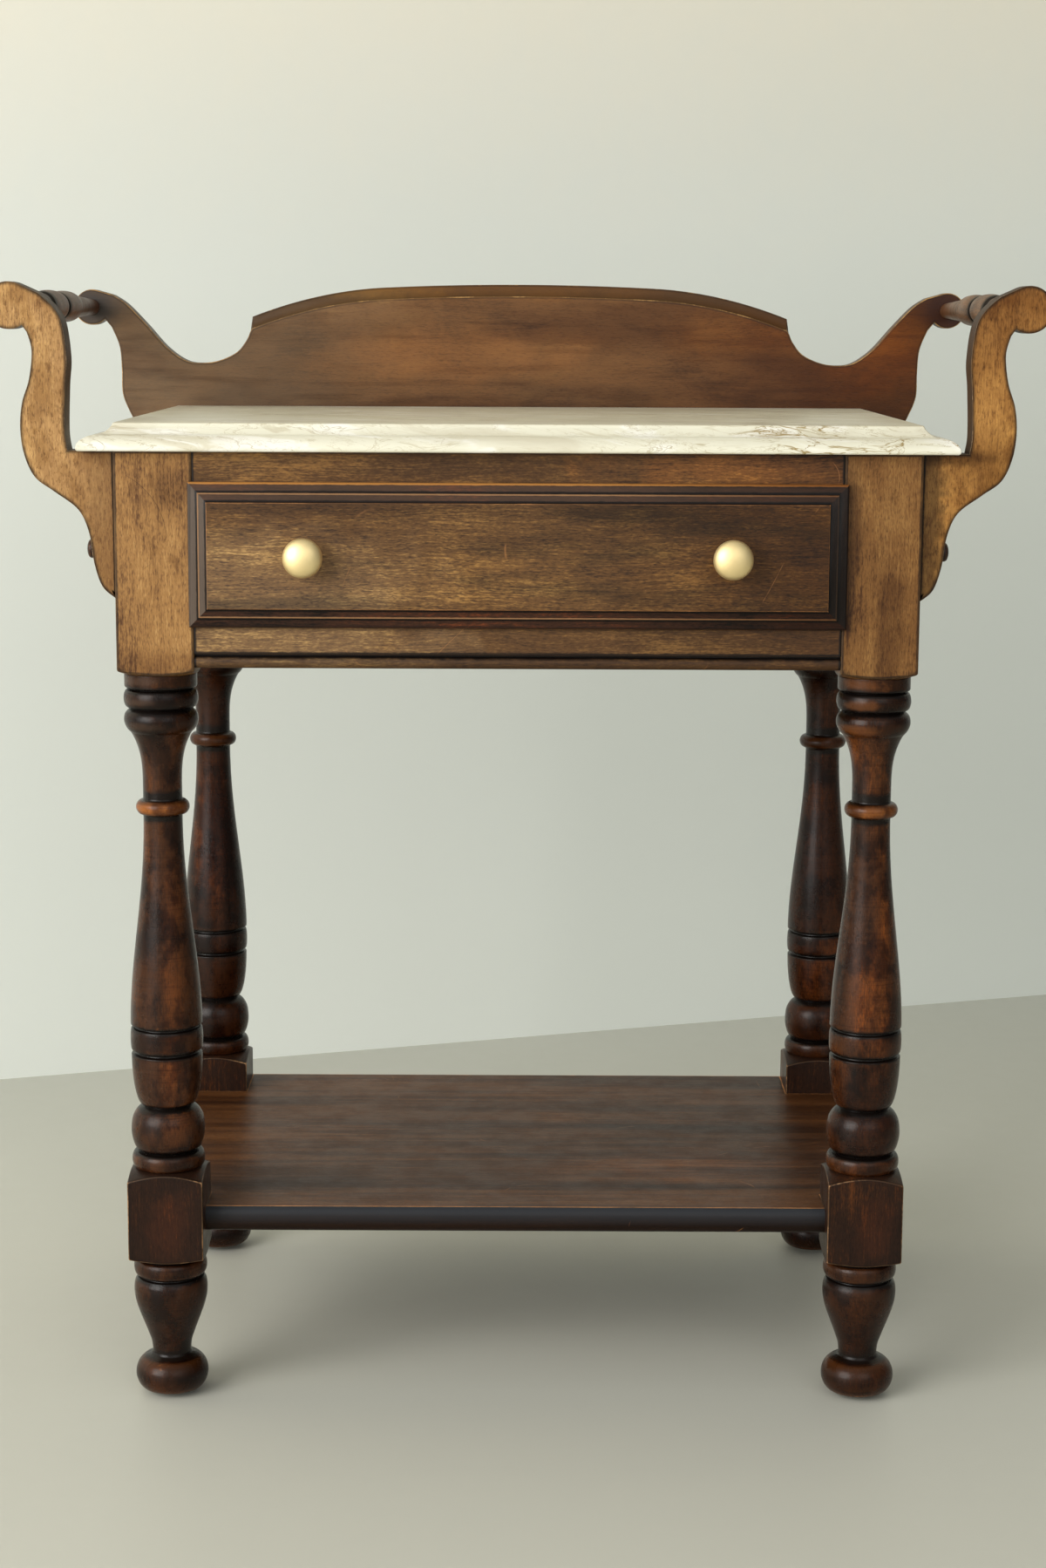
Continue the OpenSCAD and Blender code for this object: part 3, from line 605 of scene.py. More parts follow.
def begin_group(name, outputs, **inputs):
    """A new node group: its input sockets by name, and a function that links its outputs."""
    tree = bpy.data.node_groups.new(name, "ShaderNodeTree")
    for label, value in {"Vector": ORIGIN, **inputs}.items():
        kind = "Float" if isinstance(value, float) else "Color" if len(value) == 4 else "Vector"
        socket = tree.interface.new_socket(label, in_out="INPUT", socket_type=f"NodeSocket{kind}")
        socket.default_value = value
    for label in outputs:
        kind = "Color" if label == "Color" else "Float"
        tree.interface.new_socket(label, in_out="OUTPUT", socket_type=f"NodeSocket{kind}")
    results = tree.nodes.new("NodeGroupOutput").inputs

    def end(*values):
        for value, result in zip(values, results):
            tree.links.new(value, result)

    return tree.nodes.new("NodeGroupInput").outputs, end


def stain_group():
    """Stained wood whose grain runs along Z: clouds of stain, growth bands, streaks and pores."""
    source, end = begin_group("Stained wood", ("Color", "Height"), Light=GREY, Middle=GREY,
                              Dark=GREY, Clouds=1.0, Grain=1.0, Pores=0.5, Shift=0.0)
    base = wander(source["Vector"], 9.0, 2.0, 0.01)

    def drawn(vector, along, *how):
        return noise(vectors("MULTIPLY", vector, (1, 1, along)), *how)

    streak = drawn(base, 0.04, 820.0, 3.0, 0.65)
    pore = step(drawn(source["Vector"], 0.17, 1250.0, 1.5), 0.53, 0.68)
    level = maths("ADD", source["Shift"], 0.5)
    for part, weight, share in (
        (drawn(base, 0.5, 19.0, 5.0, 0.6, 0.3), 2.9, "Clouds"),
        (drawn(base, 0.07, 70.0, 3.0, 0.55, 0.2), 1.1, "Grain"),
        (streak, 2.1, "Grain"),
        (drawn(base, 0.3, 900.0, 2.0, 0.6), 1.7, "Grain"),
    ):
        swung = times(maths("SUBTRACT", part, 0.5), weight)
        level = maths("MULTIPLY_ADD", swung, source[share], level)
    colour = mix(step(level, 0.0, 0.55), source["Dark"], source["Middle"])
    colour = mix(step(level, 0.5, 1.05), colour, source["Light"])
    end(mix(times(pore, source["Pores"], 0.7), colour, source["Dark"]),
        times(maths("SUBTRACT", streak, pore), 0.5))


def rub_group():
    """Edges rubbed through to paler wood, and dark stain lying in the hollows."""
    source, end = begin_group("Rubbed edges", ("Color",), Color=GREY, Worn=0.0, Rubbed=GREY,
                              Rub=0.5, Dirt=BLACK, Settled=1.0, Outline=0.0)
    worn, rub = source["Worn"], source["Rub"]
    broad = swing(source["Vector"], 42.0, 4.0, 0.6)
    ragged = maths("MULTIPLY_ADD", broad, 1.5, times(swing(source["Vector"], 420.0, 2.0, 0.5), 0.5))
    bare = times(step(maths("MULTIPLY_ADD", worn, rub, ragged), 0.34, 0.78), step(worn, 0.02, 0.2))
    bare = maths("MAXIMUM", bare, times(step(worn, 0.02, 0.9), rub, 0.4))
    beside = times(step(worn, 0.0, 0.11), source["Outline"], step(broad, -0.3, 0.1, 0.5, 1.0))
    colour = mix(beside, source["Color"], source["Dirt"])
    colour = mix(times(bare, step(worn, 0.1, 0.4)), colour, source["Rubbed"])
    sunk = times(worn, source["Settled"], -1.0)
    hollow = step(maths("MULTIPLY_ADD", ragged, 0.35, sunk), 0.1, 0.62)
    end(mix(hollow, colour, source["Dirt"]))


def patch_group():
    """A soft ragged patch round a centre, 1 in its middle and 0 beyond its size."""
    source, end = begin_group("Soft patch", ("Mask",), Centre=ORIGIN, Size=(1, 1, 1), Ragged=0.8)
    away = vectors("SUBTRACT", source["Vector"], source["Centre"])
    reach = vectors("LENGTH", vectors("DIVIDE", away, source["Size"]))
    broken = swing(source["Vector"], 30.0, 4.0, 0.6, 0.4)
    end(step(maths("MULTIPLY_ADD", broken, source["Ragged"], reach), 0.25, 1.0, 1.0, 0.0))


def line_group():
    """A thin line across a board, where it meets the next piece."""
    source, end = begin_group("Joint line", ("Mask",), Across=(1, 0, 0), Place=0.0, Width=0.001)
    along = vectors("DOT_PRODUCT", source["Vector"], source["Across"])
    away = maths("ABSOLUTE", maths("SUBTRACT", along, source["Place"]))
    uneven = maths("MULTIPLY_ADD", noise(source["Vector"], 140.0), 1.2, 0.4)
    end(step(maths("DIVIDE", away, times(source["Width"], uneven)), 0.35, 1.0, 1.0, 0.0))


def scratch_group():
    """Fine curved scratches, here and there."""
    source, end = begin_group("Scratches", ("Mask",), Amount=1.0)
    off = maths("ABSOLUTE", swing(source["Vector"], 5.0, 0.0, 0.4, 1.0))
    here = step(noise(source["Vector"], 34.0, 2.0), 0.54, 0.62)
    end(times(step(off, 0.0, 0.0016, 1.0, 0.0), here, source["Amount"]))


def marble_group():
    """Cream marble: cloudy ground, slanting ribbons and fine veins."""
    source, end = begin_group("Cream marble", ("Color", "Vein"), Cream=GREY, Cloud=GREY, Vein=GREY,
                              Strength=1.0)
    bed = vectors("MULTIPLY", wander(source["Vector"], 7.0, 3.0, 0.05), (0.16, 1.0, 1.0))
    cloud, pale = noise(bed, 26.0, 6.0, 0.62, 0.6), noise(bed, 48.0, 4.0, 0.6, 0.4)
    colour = mix(step(cloud, 0.45, 0.68), source["Cream"], source["Cloud"])
    colour = mix(step(pale, 0.52, 0.64, 0.0, 0.75), colour, (0.91, 0.89, 0.81))
    here = step(noise(bed, 12.0), 0.42, 0.62, 0.1, 1.0)
    veins = times(step(noise(bed, 34.0, 5.0, 0.65, 1.2), 0.62, 0.68), 0.5)
    for scale, width, twist, share in (
        (18.0, 0.009, 0.9, 0.8), (46.0, 0.01, 0.7, 0.8), (110.0, 0.012, 0.5, 0.5),
    ):
        off = maths("ABSOLUTE", maths("SUBTRACT", noise(bed, scale, 5.0, 0.62, twist), 0.47))
        veins = maths("MAXIMUM", veins, times(step(off, 0.0, width, share, 0.0), here))
    veins = maths("MULTIPLY", veins, source["Strength"], clamp=True)
    end(mix(veins, colour, source["Vein"]), veins)


GRAIN_TURNS = {"X": (0, math.pi / 2, 0), "Y": (math.pi / 2, 0, 0), "Z": (0, 0, 0)}
AXES = {"X": (1, 0, 0), "Y": (0, 1, 0), "Z": (0, 0, 1), "-X": (-1, 0, 0), "-Z": (0, 0, -1)}


class Finish:
    """A finish being made up: it keeps the material's nodes and the running colour."""

    def __init__(self, name, grain="Z", shift=ORIGIN):
        self.material = bpy.data.materials.new(name)
        self.material.use_nodes = True
        self.tree = self.material.node_tree
        self.tree.nodes.clear()
        self.place = add_node(self.tree, "ShaderNodeTexCoord").outputs["Object"]
        self.vector = self.turned(GRAIN_TURNS[grain], shift)
        self.colour = self.height = None

    def turned(self, turn, shift=ORIGIN):
        """The place turned and shifted, so that a pattern runs its own way."""
        inputs = {"Vector": self.place, "Rotation": turn, "Location": shift}
        return derive("ShaderNodeMapping", inputs)[0]

    def group(self, name, **inputs):
        effect = bpy.data.node_groups[name]
        return add_node(self.tree, "ShaderNodeGroup", inputs, node_tree=effect).outputs

    def attribute(self, name):
        return add_node(self.tree, "ShaderNodeAttribute", attribute_name=name).outputs["Fac"]

    def stain(self, light, middle, dark, clouds=0.5, grain=0.5, pores=0.6, shift=0.0):
        """Lays down the stained wood that the other steps go over."""
        out = self.group("Stained wood", Vector=self.vector, Light=light, Middle=middle, Dark=dark,
                         Clouds=clouds, Grain=grain, Pores=pores, Shift=shift)
        self.colour, self.height = out["Color"], out["Height"]
        return self

    def over(self, mask, colour, share=1.0, blend="MIX"):
        """Lays a colour over the running colour where the mask is up."""
        if share != 1.0:
            mask = times(mask, share)
        self.colour = mix(mask, self.colour, colour, blend)

    def soft(self, centre, size, ragged):
        """The mask of a soft patch, its centre and size in millimetres."""
        return self.group("Soft patch", Vector=self.place, Centre=Vector(centre) * MM,
                          Size=Vector(size) * MM, Ragged=ragged)["Mask"]

    def patch(self, centre, size, colour, share=1.0, ragged=0.8):
        """A soft patch of a colour."""
        self.over(self.soft(centre, size, ragged), colour, share)

    def shades(self, front, *rows):
        """Soft patches on a front that lighten or darken it by a factor and let the grain show.

        A row is x, z, half width, half depth, half height, factor and raggedness.
        """
        for x, z, wide, deep, high, factor, ragged in rows:
            mask = self.soft((x, front, z), (wide, deep, high), ragged)
            self.over(mask, factor, blend="MULTIPLY")

    def fleck(self, scale, along, low, high, factor):
        """Ragged flecks or clouds drawn along the grain, darker or lighter by a factor."""
        drawn = vectors("MULTIPLY", self.vector, (1, 1, along))
        self.over(step(noise(drawn, scale, 4.0, 0.62), low, high), factor, blend="MULTIPLY")

    def line(self, axis, place, width, colour, share=1.0):
        """A thin line of a colour, its place on the axis and its half width in millimetres."""
        mask = self.group("Joint line", Vector=self.place, Across=AXES[axis], Place=place * MM,
                          Width=width * MM)["Mask"]
        self.over(mask, colour, share)

    def span(self, axis, low, high, colour, share=1.0, ragged=20.0, blend="MIX"):
        """A colour that comes in along an axis between two places, in millimetres."""
        along = vectors("DOT_PRODUCT", self.place, AXES[axis])
        place = maths("MULTIPLY_ADD", swing(self.place, 24.0, 4.0, 0.6), ragged * MM, along)
        self.over(step(place, low * MM, high * MM), colour, share, blend)

    def fade(self, axis, low, high, factor, ragged=20.0):
        """Goes lighter or darker by a factor along an axis."""
        self.span(axis, low, high, factor, 1.0, ragged, "MULTIPLY")

    def scratch(self, colour, amount):
        self.over(self.group("Scratches", Vector=self.place, Amount=amount)["Mask"], colour)

    def rim(self, colour, share):
        """A darker colour on the narrow edges of a board."""
        self.over(step(self.attribute("rim"), 0.02, 0.5), colour, share)

    def rub(self, colour, rub, dirt, settled=1.0, outline=0.0):
        """Edges rubbed down to a colour, with dirt in the hollows and beside the edges."""
        self.colour = self.group(
            "Rubbed edges", Vector=self.place, Color=self.colour, Worn=self.attribute("worn"),
            Rubbed=colour, Rub=rub, Dirt=dirt, Settled=settled, Outline=outline)["Color"]

    def shader(self, smooth, rough, gloss=0.5, metal=0.0, bump=0.25, depth=0.0004):
        """Ends the material in its shader; its roughness drifts from smooth to rough."""
        spread = step(noise(self.vector, 38.0, 4.0, 0.6), 0.32, 0.68, smooth, rough)
        base = add_node(self.tree, "ShaderNodeBsdfPrincipled", {
            "Base Color": self.colour, "Roughness": spread, "Specular IOR Level": gloss,
            "Metallic": metal,
        })
        if self.height is not None:
            inputs = {"Height": self.height, "Strength": bump, "Distance": depth}
            self.tree.links.new(derive("ShaderNodeBump", inputs)["Normal"], base.inputs["Normal"])
        out = add_node(self.tree, "ShaderNodeOutputMaterial", {"Surface": base.outputs[0]})
        self.surface = out.inputs["Surface"]
        return self.material


# ---- finishes

def colours():
    """The finish colours as plain tuples, and the wear, by name."""
    finish = bpy.context.scene.washstand_finish
    values = {name: getattr(finish, name) for name in WashstandFinish.__annotations__}
    return SimpleNamespace(**{n: v if n == "wear" else tuple(v) for n, v in values.items()})


def between(first, second, share):
    """A colour between two others."""
    return tuple(a + (b - a) * share for a, b in zip(first, second))


def leg_finishes():
    """Golden worn stain for the posts, dark walnut for the turnings, darker for the low blocks."""
    c = colours()
    front, base, foot = POST_LOW.y, LOW_BLOCK[1], POST_BLOCK[0]
    post = Finish("Post stain").stain(c.post_light, c.post_middle, c.post_dark, 0.7, pores=0.8)
    post.fleck(130, 0.3, 0.55, 0.72, (0.62, 0.57, 0.52))
    post.fleck(420, 0.4, 0.56, 0.72, (0.7, 0.66, 0.61))
    # Darker towards the right: partly the right posts' darker stain, partly painted shade as the
    # light falls off away from the window.
    post.fade("X", -60, 320, (0.54, 0.46, 0.37))
    post.shades(
        front,
        (240, 660, 12, 40, 130, (0.5, 0.46, 0.44), 1.4),
        (272, 600, 16, 40, 70, (0.6, 0.55, 0.5), 1.4),
        (-262, foot, 50, 40, 22, (0.66, 0.6, 0.54), 1.2),
        (-255, 702, 24, 40, 36, (0.68, 0.64, 0.6), 1.6),
    )
    post.scratch(c.walnut_dark, 0.6)
    post.rub(c.post_light, c.wear * 0.35, c.walnut_dark, 1.0, 0.8)
    walnut = Finish("Walnut stain").stain(
        c.walnut_light, c.walnut_middle, tone(34, 20, 13), grain=0.25, pores=0.7, shift=0.06)
    for hand, share in ((-1, 0.9), (1, 0.5)):
        centre = (hand * POST_MIDDLE, front + 14, foot - 106)
        walnut.patch(centre, (46, 46, 5.5), tone(150, 90, 42), share)
    walnut.fleck(17, 60.0, 0.5, 0.66, (0.66, 0.62, 0.6))
    walnut.fleck(110, 0.6, 0.5, 0.66, (0.55, 0.48, 0.45))
    walnut.fleck(34, 0.8, 0.44, 0.6, (0.34, 0.3, 0.31))
    walnut.shades(
        front,
        (9 - POST_MIDDLE, 350, 13, 34, 120, (2.2, 1.95, 1.5), 1.1),
        (9 + POST_MIDDLE, 350, 13, 34, 120, (2.2, 1.95, 1.5), 1.1),
        (9 - POST_MIDDLE, 240, 16, 34, 50, (2.2, 2.0, 1.7), 1.3),
        (POST_MIDDLE - 8, 330, 16, 34, 60, (1.7, 1.5, 1.2), 1.2),
        (POST_MIDDLE, 228, 60, 60, 80, (0.4, 0.37, 0.45), 0.5),
    )
    walnut.fade("-Z", -LOW_BLOCK[0] - 20, -40, (0.36, 0.33, 0.34), 60)
    walnut.fade("Y", -60, 100, (0.58, 0.5, 0.46))
    walnut.rub(between(c.walnut_light, c.rubbed, 0.12), c.wear * 0.7, tone(20, 12, 8), 1.5)
    walnut.fade("Z", foot - 62, foot - 38, (0.4, 0.4, 0.44), 30)
    # Small patches on the neck rings, left of each leg's axis: painted highlights on the left leg,
    # golden specks on the right leg.
    lights = ((1, 5, tone(140, 84, 42), 0.26), (-1, 4, tone(104, 80, 64), 0.2))
    for down in (9, 25, 43):
        for hand, high, colour, share in lights:
            centre = (hand * POST_MIDDLE - 14, front + 4, foot - down)
            walnut.patch(centre, (20, 22, high), colour, share, 2.2)
    for groove in (LOW_BLOCK[0] - 20, base + 21, base + 55.5, base + 98, base + 117.6,
                   foot - 31, foot - 16.5):
        walnut.line("Z", groove, 4.4, tone(14, 9, 7), 0.96)
    block = Finish("Block stain").stain(
        between(c.walnut_middle, c.walnut_light, 0.3), tone(40, 24, 16), tone(24, 15, 11),
        grain=0.4, pores=0.7)
    block.shades(front, *((4 + x, 140, 22, 30, 34, (1.8, 1.4, 1.15), 1.5) for x in (-266, 266)))
    block.rub(tone(158, 120, 84), c.wear * 1.35, c.walnut_dark, 1.2, 0.4)
    return [
        post.shader(0.42, 0.56, 0.22), walnut.shader(0.22, 0.32, 0.2), block.shader(0.3, 0.4, 0.14),
    ]


def case_finish(name, recess_shade=False):
    """Brown stain along the rails, with golden streaks and dark joints, and painted shade along the
    recess above the bead.
    """
    c = colours()
    rail = Finish(name, "X", (0.3, 0.1, 0)).stain(c.case_light, c.case_middle, c.case_dark)
    rail.fleck(36, 0.16, 0.48, 0.66, (0.72, 0.72, 0.74))
    rail.fade("X", -40, 330, (0.62, 0.54, 0.48))
    rail.shades(
        POST_LOW.y,
        (165, 714, 130, 40, 24, (1.85, 1.6, 1.25), 1.6),
        (-80, 712, 200, 40, 22, (0.8, 0.76, 0.72), 0.8),
        (-170, 588, 190, 40, 30, (1.62, 1.9, 2.4), 1.4),
    )
    rail.scratch(c.rubbed, 0.35)
    rail.rub(c.rubbed, c.wear * 0.9, c.walnut_dark, 1.0, 0.5)
    for hand in (-1, 1):
        rail.line("X", hand * POST_LOW.x, 2.4, c.walnut_dark, 0.97)
    # Painted shade: a dark line along the lower rail's bottom edge, over the recess above the bead.
    rail.line("Z", BEAD_HIGH.z + 0.2, 2.6, c.walnut_dark, 0.9)
    # Painted shade in the recess between the lower rail and the bead, on the bead's own finish.
    if recess_shade:
        rail.line("Z", BEAD_HIGH.z - 0.4, 4.2, c.walnut_dark, 0.98)
    return rail.shader(0.42, 0.56, 0.22)


def apron_finish():
    """Brown stain with the grain running front to back."""
    c = colours()
    apron = Finish("Apron stain", "Y").stain(c.case_light, c.case_middle, c.case_dark, 0.6, 0.62)
    apron.rub(c.rubbed, c.wear * 0.9, c.walnut_dark)
    for place in (POST_HIGH.y, BACK_POST_LOW.y):
        apron.line("Y", place, 1.5, c.walnut_dark, 0.95)
    return apron.shader(0.42, 0.56, 0.28)


def drawer_finishes():
    """Field of the drawer, then its mouldings along and across, with painted sheen and painted
    shade on the mouldings.
    """
    c = colours()
    field = Finish("Drawer stain", "X", (0, 0.2, 0)).stain(
        c.case_light, c.case_middle, c.case_dark, 0.4, pores=0.9, shift=0.04)
    field.fleck(48, 0.14, 0.48, 0.68, (0.6, 0.64, 0.7))
    field.shades(
        DRAWER_LOW.y,
        (-175, 634, 140, 20, 52, (1.66, 1.94, 2.45), 0.8),
        (20, 636, 150, 20, 26, (1.35, 1.36, 1.3), 0.8),
        (-110, 690, 220, 20, 18, (0.66, 0.64, 0.64), 0.8),
        (100, 684, 120, 20, 20, (0.6, 0.57, 0.55), 0.8),
    )
    field.fade("X", 0, 230, (0.52, 0.42, 0.3), 60)
    field.scratch(c.rubbed, 0.3)
    field.rub(c.rubbed, c.wear * 1.5, c.walnut_dark)
    long = Finish("Long moulding stain", "X").stain(
        between(c.moulding, tone(160, 80, 36), 0.45), c.moulding, c.walnut_dark, pores=0.5)
    # Painted sheen: the top moulding is tinted greyish brown, as though its upward slopes caught
    # the light; the lower one keeps its reddish stain.
    long.span("Z", 645, 680, tone(80, 62, 50), 0.6)
    short = Finish("Short moulding stain").stain(
        between(c.moulding, c.rubbed, 0.2), c.moulding, c.walnut_dark, 0.4, pores=0.5)
    # Painted sheen: the left-hand moulding is tinted grey, as though its slopes caught the window
    # light.
    short.span("-X", 0, 120, tone(100, 88, 78), 0.8)
    for moulding in (long, short):
        moulding.rub(c.rubbed, c.wear * 0.5, c.walnut_dark, 2.0, 0.5)
    # Lines along each moulding's steps: dark painted shade at the foot of each riser, and a pale
    # worn arris between them.
    riser_shades_and_arrises = ((6.8, 1.4, c.walnut_dark, 0.9), (8.1, 0.8, tone(176, 132, 92), 0.55),
              (13.4, 1.3, c.walnut_dark, 0.9))
    for inward, edge in ((-1, DRAWER_HIGH), (1, DRAWER_LOW)):
        for deep, width, colour, share in riser_shades_and_arrises:
            long.line("Z", edge.z + inward * deep, width, colour, share)
            short.line("X", edge.x + inward * deep, width * 0.9, colour, share)
    # Painted shade: the right-hand moulding is painted near-black, as though turned away from the
    # light.
    short.span("X", 0, 120, c.walnut_dark, 0.92)
    # The line along the lip's top edge is partly wear and partly a painted highlight where the edge
    # faces the light.
    long.line("Z", DRAWER_HIGH.z - 0.6, 1.3, tone(196, 134, 66), 0.7)
    long.fade("X", 20, 250, (0.46, 0.36, 0.28), 60)
    return [
        field.shader(0.4, 0.54, 0.22), long.shader(0.3, 0.42, 0.17), short.shader(0.3, 0.42, 0.2),
    ]


def arm_finish():
    """Golden worn stain with dark edges, with painted shade below the slab's edge and painted
    shadow beside the right post.
    """
    c = colours()
    arm = Finish("Arm stain", "Z", (0.4, 0, 0)).stain(
        c.arm_light, c.post_middle, c.post_dark, 0.55, 0.36, 0.7, 0.14)
    arm.fleck(44, 0.5, 0.46, 0.66, (0.7, 0.64, 0.56))
    arm.fleck(230, 0.5, 0.54, 0.7, (0.64, 0.58, 0.52))
    arm.fleck(520, 0.7, 0.56, 0.7, (0.6, 0.55, 0.5))
    arm.fade("X", -100, 420, (1.15, 1.06, 0.86))
    # The rows at heights 712 and 723 darken the arm just below the slab: partly stain, partly
    # painted shade under the slab.
    arm.shades(
        ARM_LOW.y,
        (360, 842, 60, 60, 26, (0.65, 0.58, 0.5), 1.2),
        (350, 712, 50, 60, 40, (0.6, 0.55, 0.48), 1.6),
        (318, 723, 46, 60, 8, (0.5, 0.46, 0.42), 1.6),
        (352, 800, 40, 60, 50, (0.72, 0.66, 0.6), 2.4),
        (338, 690, 40, 60, 40, (0.66, 0.6, 0.54), 2.4),
        (-350, 760, 110, 60, 170, (1.2, 1.3, 1.55), 0.3),
    )
    # Partly darker stain, partly painted shadow cast by the right post onto the arm beside it.
    arm.line("X", POST_HIGH.x, 22, c.walnut_dark, 0.72)
    arm.line("X", -POST_HIGH.x, 30, tone(96, 64, 38), 0.5)
    for hand in (-1, 1):
        arm.line("X", hand * POST_HIGH.x, 1.8, c.walnut_dark, 0.95)
    arm.rim(c.arm_dark, 0.95)
    arm.rub(between(c.arm_light, (1, 1, 1), 0.12), c.wear * 0.6, c.walnut_dark, 1.0, 1.0)
    return arm.shader(0.42, 0.56, 0.15)


def board_finish():
    """Red-brown satin stain, greyer at the left and olive in the cove, with painted sheen in the
    cove and painted shadow round the towel bars' seats.
    """
    c = colours()
    board = Finish("Back board stain", "X", (0, 0, 0.5)).stain(
        between(c.board_middle, c.case_light, 0.5), c.board_middle, c.case_dark, 0.34, 0.2, 0.35)
    front, lobe, level = BOARD_LOW.y, POST_HIGH.x + LOBE_REACH, CASE_TOP + BAR_RISE
    board.span("-X", 60, 300, tone(114, 96, 74), 0.55, 90)
    board.fade("X", 40, 330, (0.6, 0.38, 0.13), 110)
    board.fleck(22, 0.25, 0.44, 0.64, (0.66, 0.6, 0.56))
    board.fleck(9, 0.4, 0.46, 0.62, (0.74, 0.78, 0.84))
    board.fleck(160, 0.06, 0.5, 0.7, (0.78, 0.74, 0.7))
    board.shades(
        front,
        (300, 800, 60, 60, 50, (1.8, 1.7, 1.3), 1.4),
        (-60, 790, 150, 60, 30, (1.4, 1.32, 1.2), 1.2),
    )
    # Dark patches on the lobes round the towel bars' seats: partly the stain's tone, partly painted
    # shadow round each seat.
    board.patch((-lobe, front, level), (34, 30, 26), tone(58, 54, 52), 0.9, 0.6)
    board.patch((lobe, front, level), (34, 30, 26), tone(50, 26, 18), 0.9, 0.6)
    board.rim(tone(70, 46, 20), 0.84)
    # The first two rows paint sheen into the cove where it faces the light; the last two lighten
    # and retint the board just below it.
    board.shades(
        front,
        (-10, 850, 270, 40, 16, (1.6, 1.45, 1.0), 0.9),
        (-130, 848, 90, 40, 16, (1.4, 1.45, 1.2), 1.4),
        (-150, 832, 100, 40, 26, (1.26, 1.34, 1.42), 0.9),
        (200, 812, 100, 40, 30, (1.2, 1.08, 0.8), 1.2),
    )
    # The rubbed arrises include the pale line along the cove's lower edge, partly wear and partly a
    # painted highlight.
    board.rub(between(c.case_light, c.post_light, 0.5), c.wear * 1.4, c.walnut_dark, 1.0, 0.5)
    return board.shader(0.34, 0.46, 0.24)


def bar_finish():
    """Dark stain of the towel bars."""
    c = colours()
    bar = Finish("Towel bar stain", "Y").stain(
        between(c.bar_middle, c.rubbed, 0.3), c.bar_middle, c.walnut_dark)
    middle = (ARM_HIGH.y + BOARD_LOW.y) / 2
    for place in (middle - 68.5, middle, middle + 68.5):
        bar.line("Y", place, 11, c.walnut_dark, 0.97)
    bar.span("Y", middle + 60, BOARD_LOW.y, tone(84, 50, 28), 0.8)
    bar.fade("-X", 0, 200, (0.74, 0.58, 0.5), 10)
    bar.rub(c.rubbed, c.wear * 0.4, c.walnut_dark, 2.2)
    return bar.shader(0.34, 0.46, 0.14)


def plug_finish():
    """Dark stain of the turned plugs on the arms."""
    c = colours()
    plug = Finish("Plug stain", "X").stain(
        c.walnut_middle, tone(40, 25, 16), c.walnut_dark, 0.4, 0.4, 0.5, -0.2)
    plug.rub(c.walnut_light, c.wear * 0.5, c.walnut_dark)
    return plug.shader(0.3, 0.42, 0.3)


def shelf_finish():
    """Dark satin stain with streaks and fine scratches, and a painted grey-blue sheen high on the
    nose.
    """
    c = colours()
    shelf = Finish("Shelf stain", "X", (0.1, 0, 0)).stain(
        between(c.shelf_middle, c.rubbed, 0.2), c.shelf_middle, c.walnut_dark, 0.2, 0.4, 0.5, 0.1)
    shelf.fleck(16, 0.06, 0.45, 0.6, (0.46, 0.43, 0.44))
    shelf.fleck(90, 0.05, 0.46, 0.62, (0.58, 0.54, 0.52))
    shelf.shades(-60, (150, SHELF_HIGH.z, 150, 50, 20, (1.5, 1.4, 1.25), 1.4))
    shelf.rim(c.walnut_dark, 0.9)
    # Painted sheen: the upper half of the nose is tinted grey-blue, as though it reflected the
    # light above it.
    shelf.over(shelf.attribute("slate"), tone(50, 52, 56), 0.5)
    shelf.scratch(c.rubbed, 0.5)
    shelf.rub(c.rubbed, c.wear * 1.2, c.walnut_dark, 1.0, 0.7)
    return shelf.shader(0.32, 0.42, 0.12)


def inner_finish():
    """Bare wood of the drawer's box and what carries it."""
    c = colours()
    wood = Finish("Bare wood", "Y", (0, 0.7, 0)).stain(
        between(c.bare_wood, (1, 1, 1), 0.12), c.bare_wood, between(c.bare_wood, c.post_dark, 0.6),
        0.4, 0.8)
    return wood.shader(0.55, 0.7)


def marble_finish():
    """Honed cream marble, more strongly veined near the right front corner, with painted shade on
    its top face.
    """
    c = colours()
    stone = Finish("Cream marble")
    corner = stone.soft((250, -190, 740), (170, 130, 80), 0.8)
    strength = maths("MULTIPLY_ADD", corner, 1.1, 0.6)
    out = stone.group("Cream marble", Vector=stone.turned((0.06, 0.04, 0.3)), Cream=c.marble_cream,
                      Cloud=c.marble_grey, Vein=c.marble_vein, Strength=strength)
    stone.colour, stone.height = out["Color"], times(out["Vein"], -0.3)
    # Painted shade: the top face is darkened a little against the brighter front edge.
    stone.span("Z", SLAB_HIGH.z - 1.2, SLAB_HIGH.z, tone(212, 205, 188), 0.55, 0.0, "MULTIPLY")
    return stone.shader(0.3, 0.42, bump=0.1, depth=0.0002)


def metal_finish(name, first, second, cloud, soft, fine, smooth, rough, bump):
    """Metal of two close tones, clouded at one scale and finely marked at another."""
    metal = Finish(name)
    metal.colour = mix(step(noise(metal.place, cloud), 0.5 - soft, 0.5 + soft), first, second)
    metal.height = noise(metal.place, fine, 2.0)
    return metal.shader(smooth, rough, metal=1.0, bump=bump, depth=0.0001)


def brass_finish():
    """Satin brass with a faint lathe-brushed change in its gloss."""
    brass = colours().brass
    return metal_finish("Satin brass", brass, between(brass, (0.6, 0.42, 0.18), 0.12), 60.0, 0.15,
                        900.0, 0.49, 0.55, 0.03)


def steel_finish():
    """Plain steel of the screws and glides."""
    return metal_finish("Screw steel", tone(150, 148, 143), tone(186, 184, 180), 300.0, 0.2,
                        1500.0, 0.32, 0.5, 0.08)


# ---- operators, one for each kind of piece

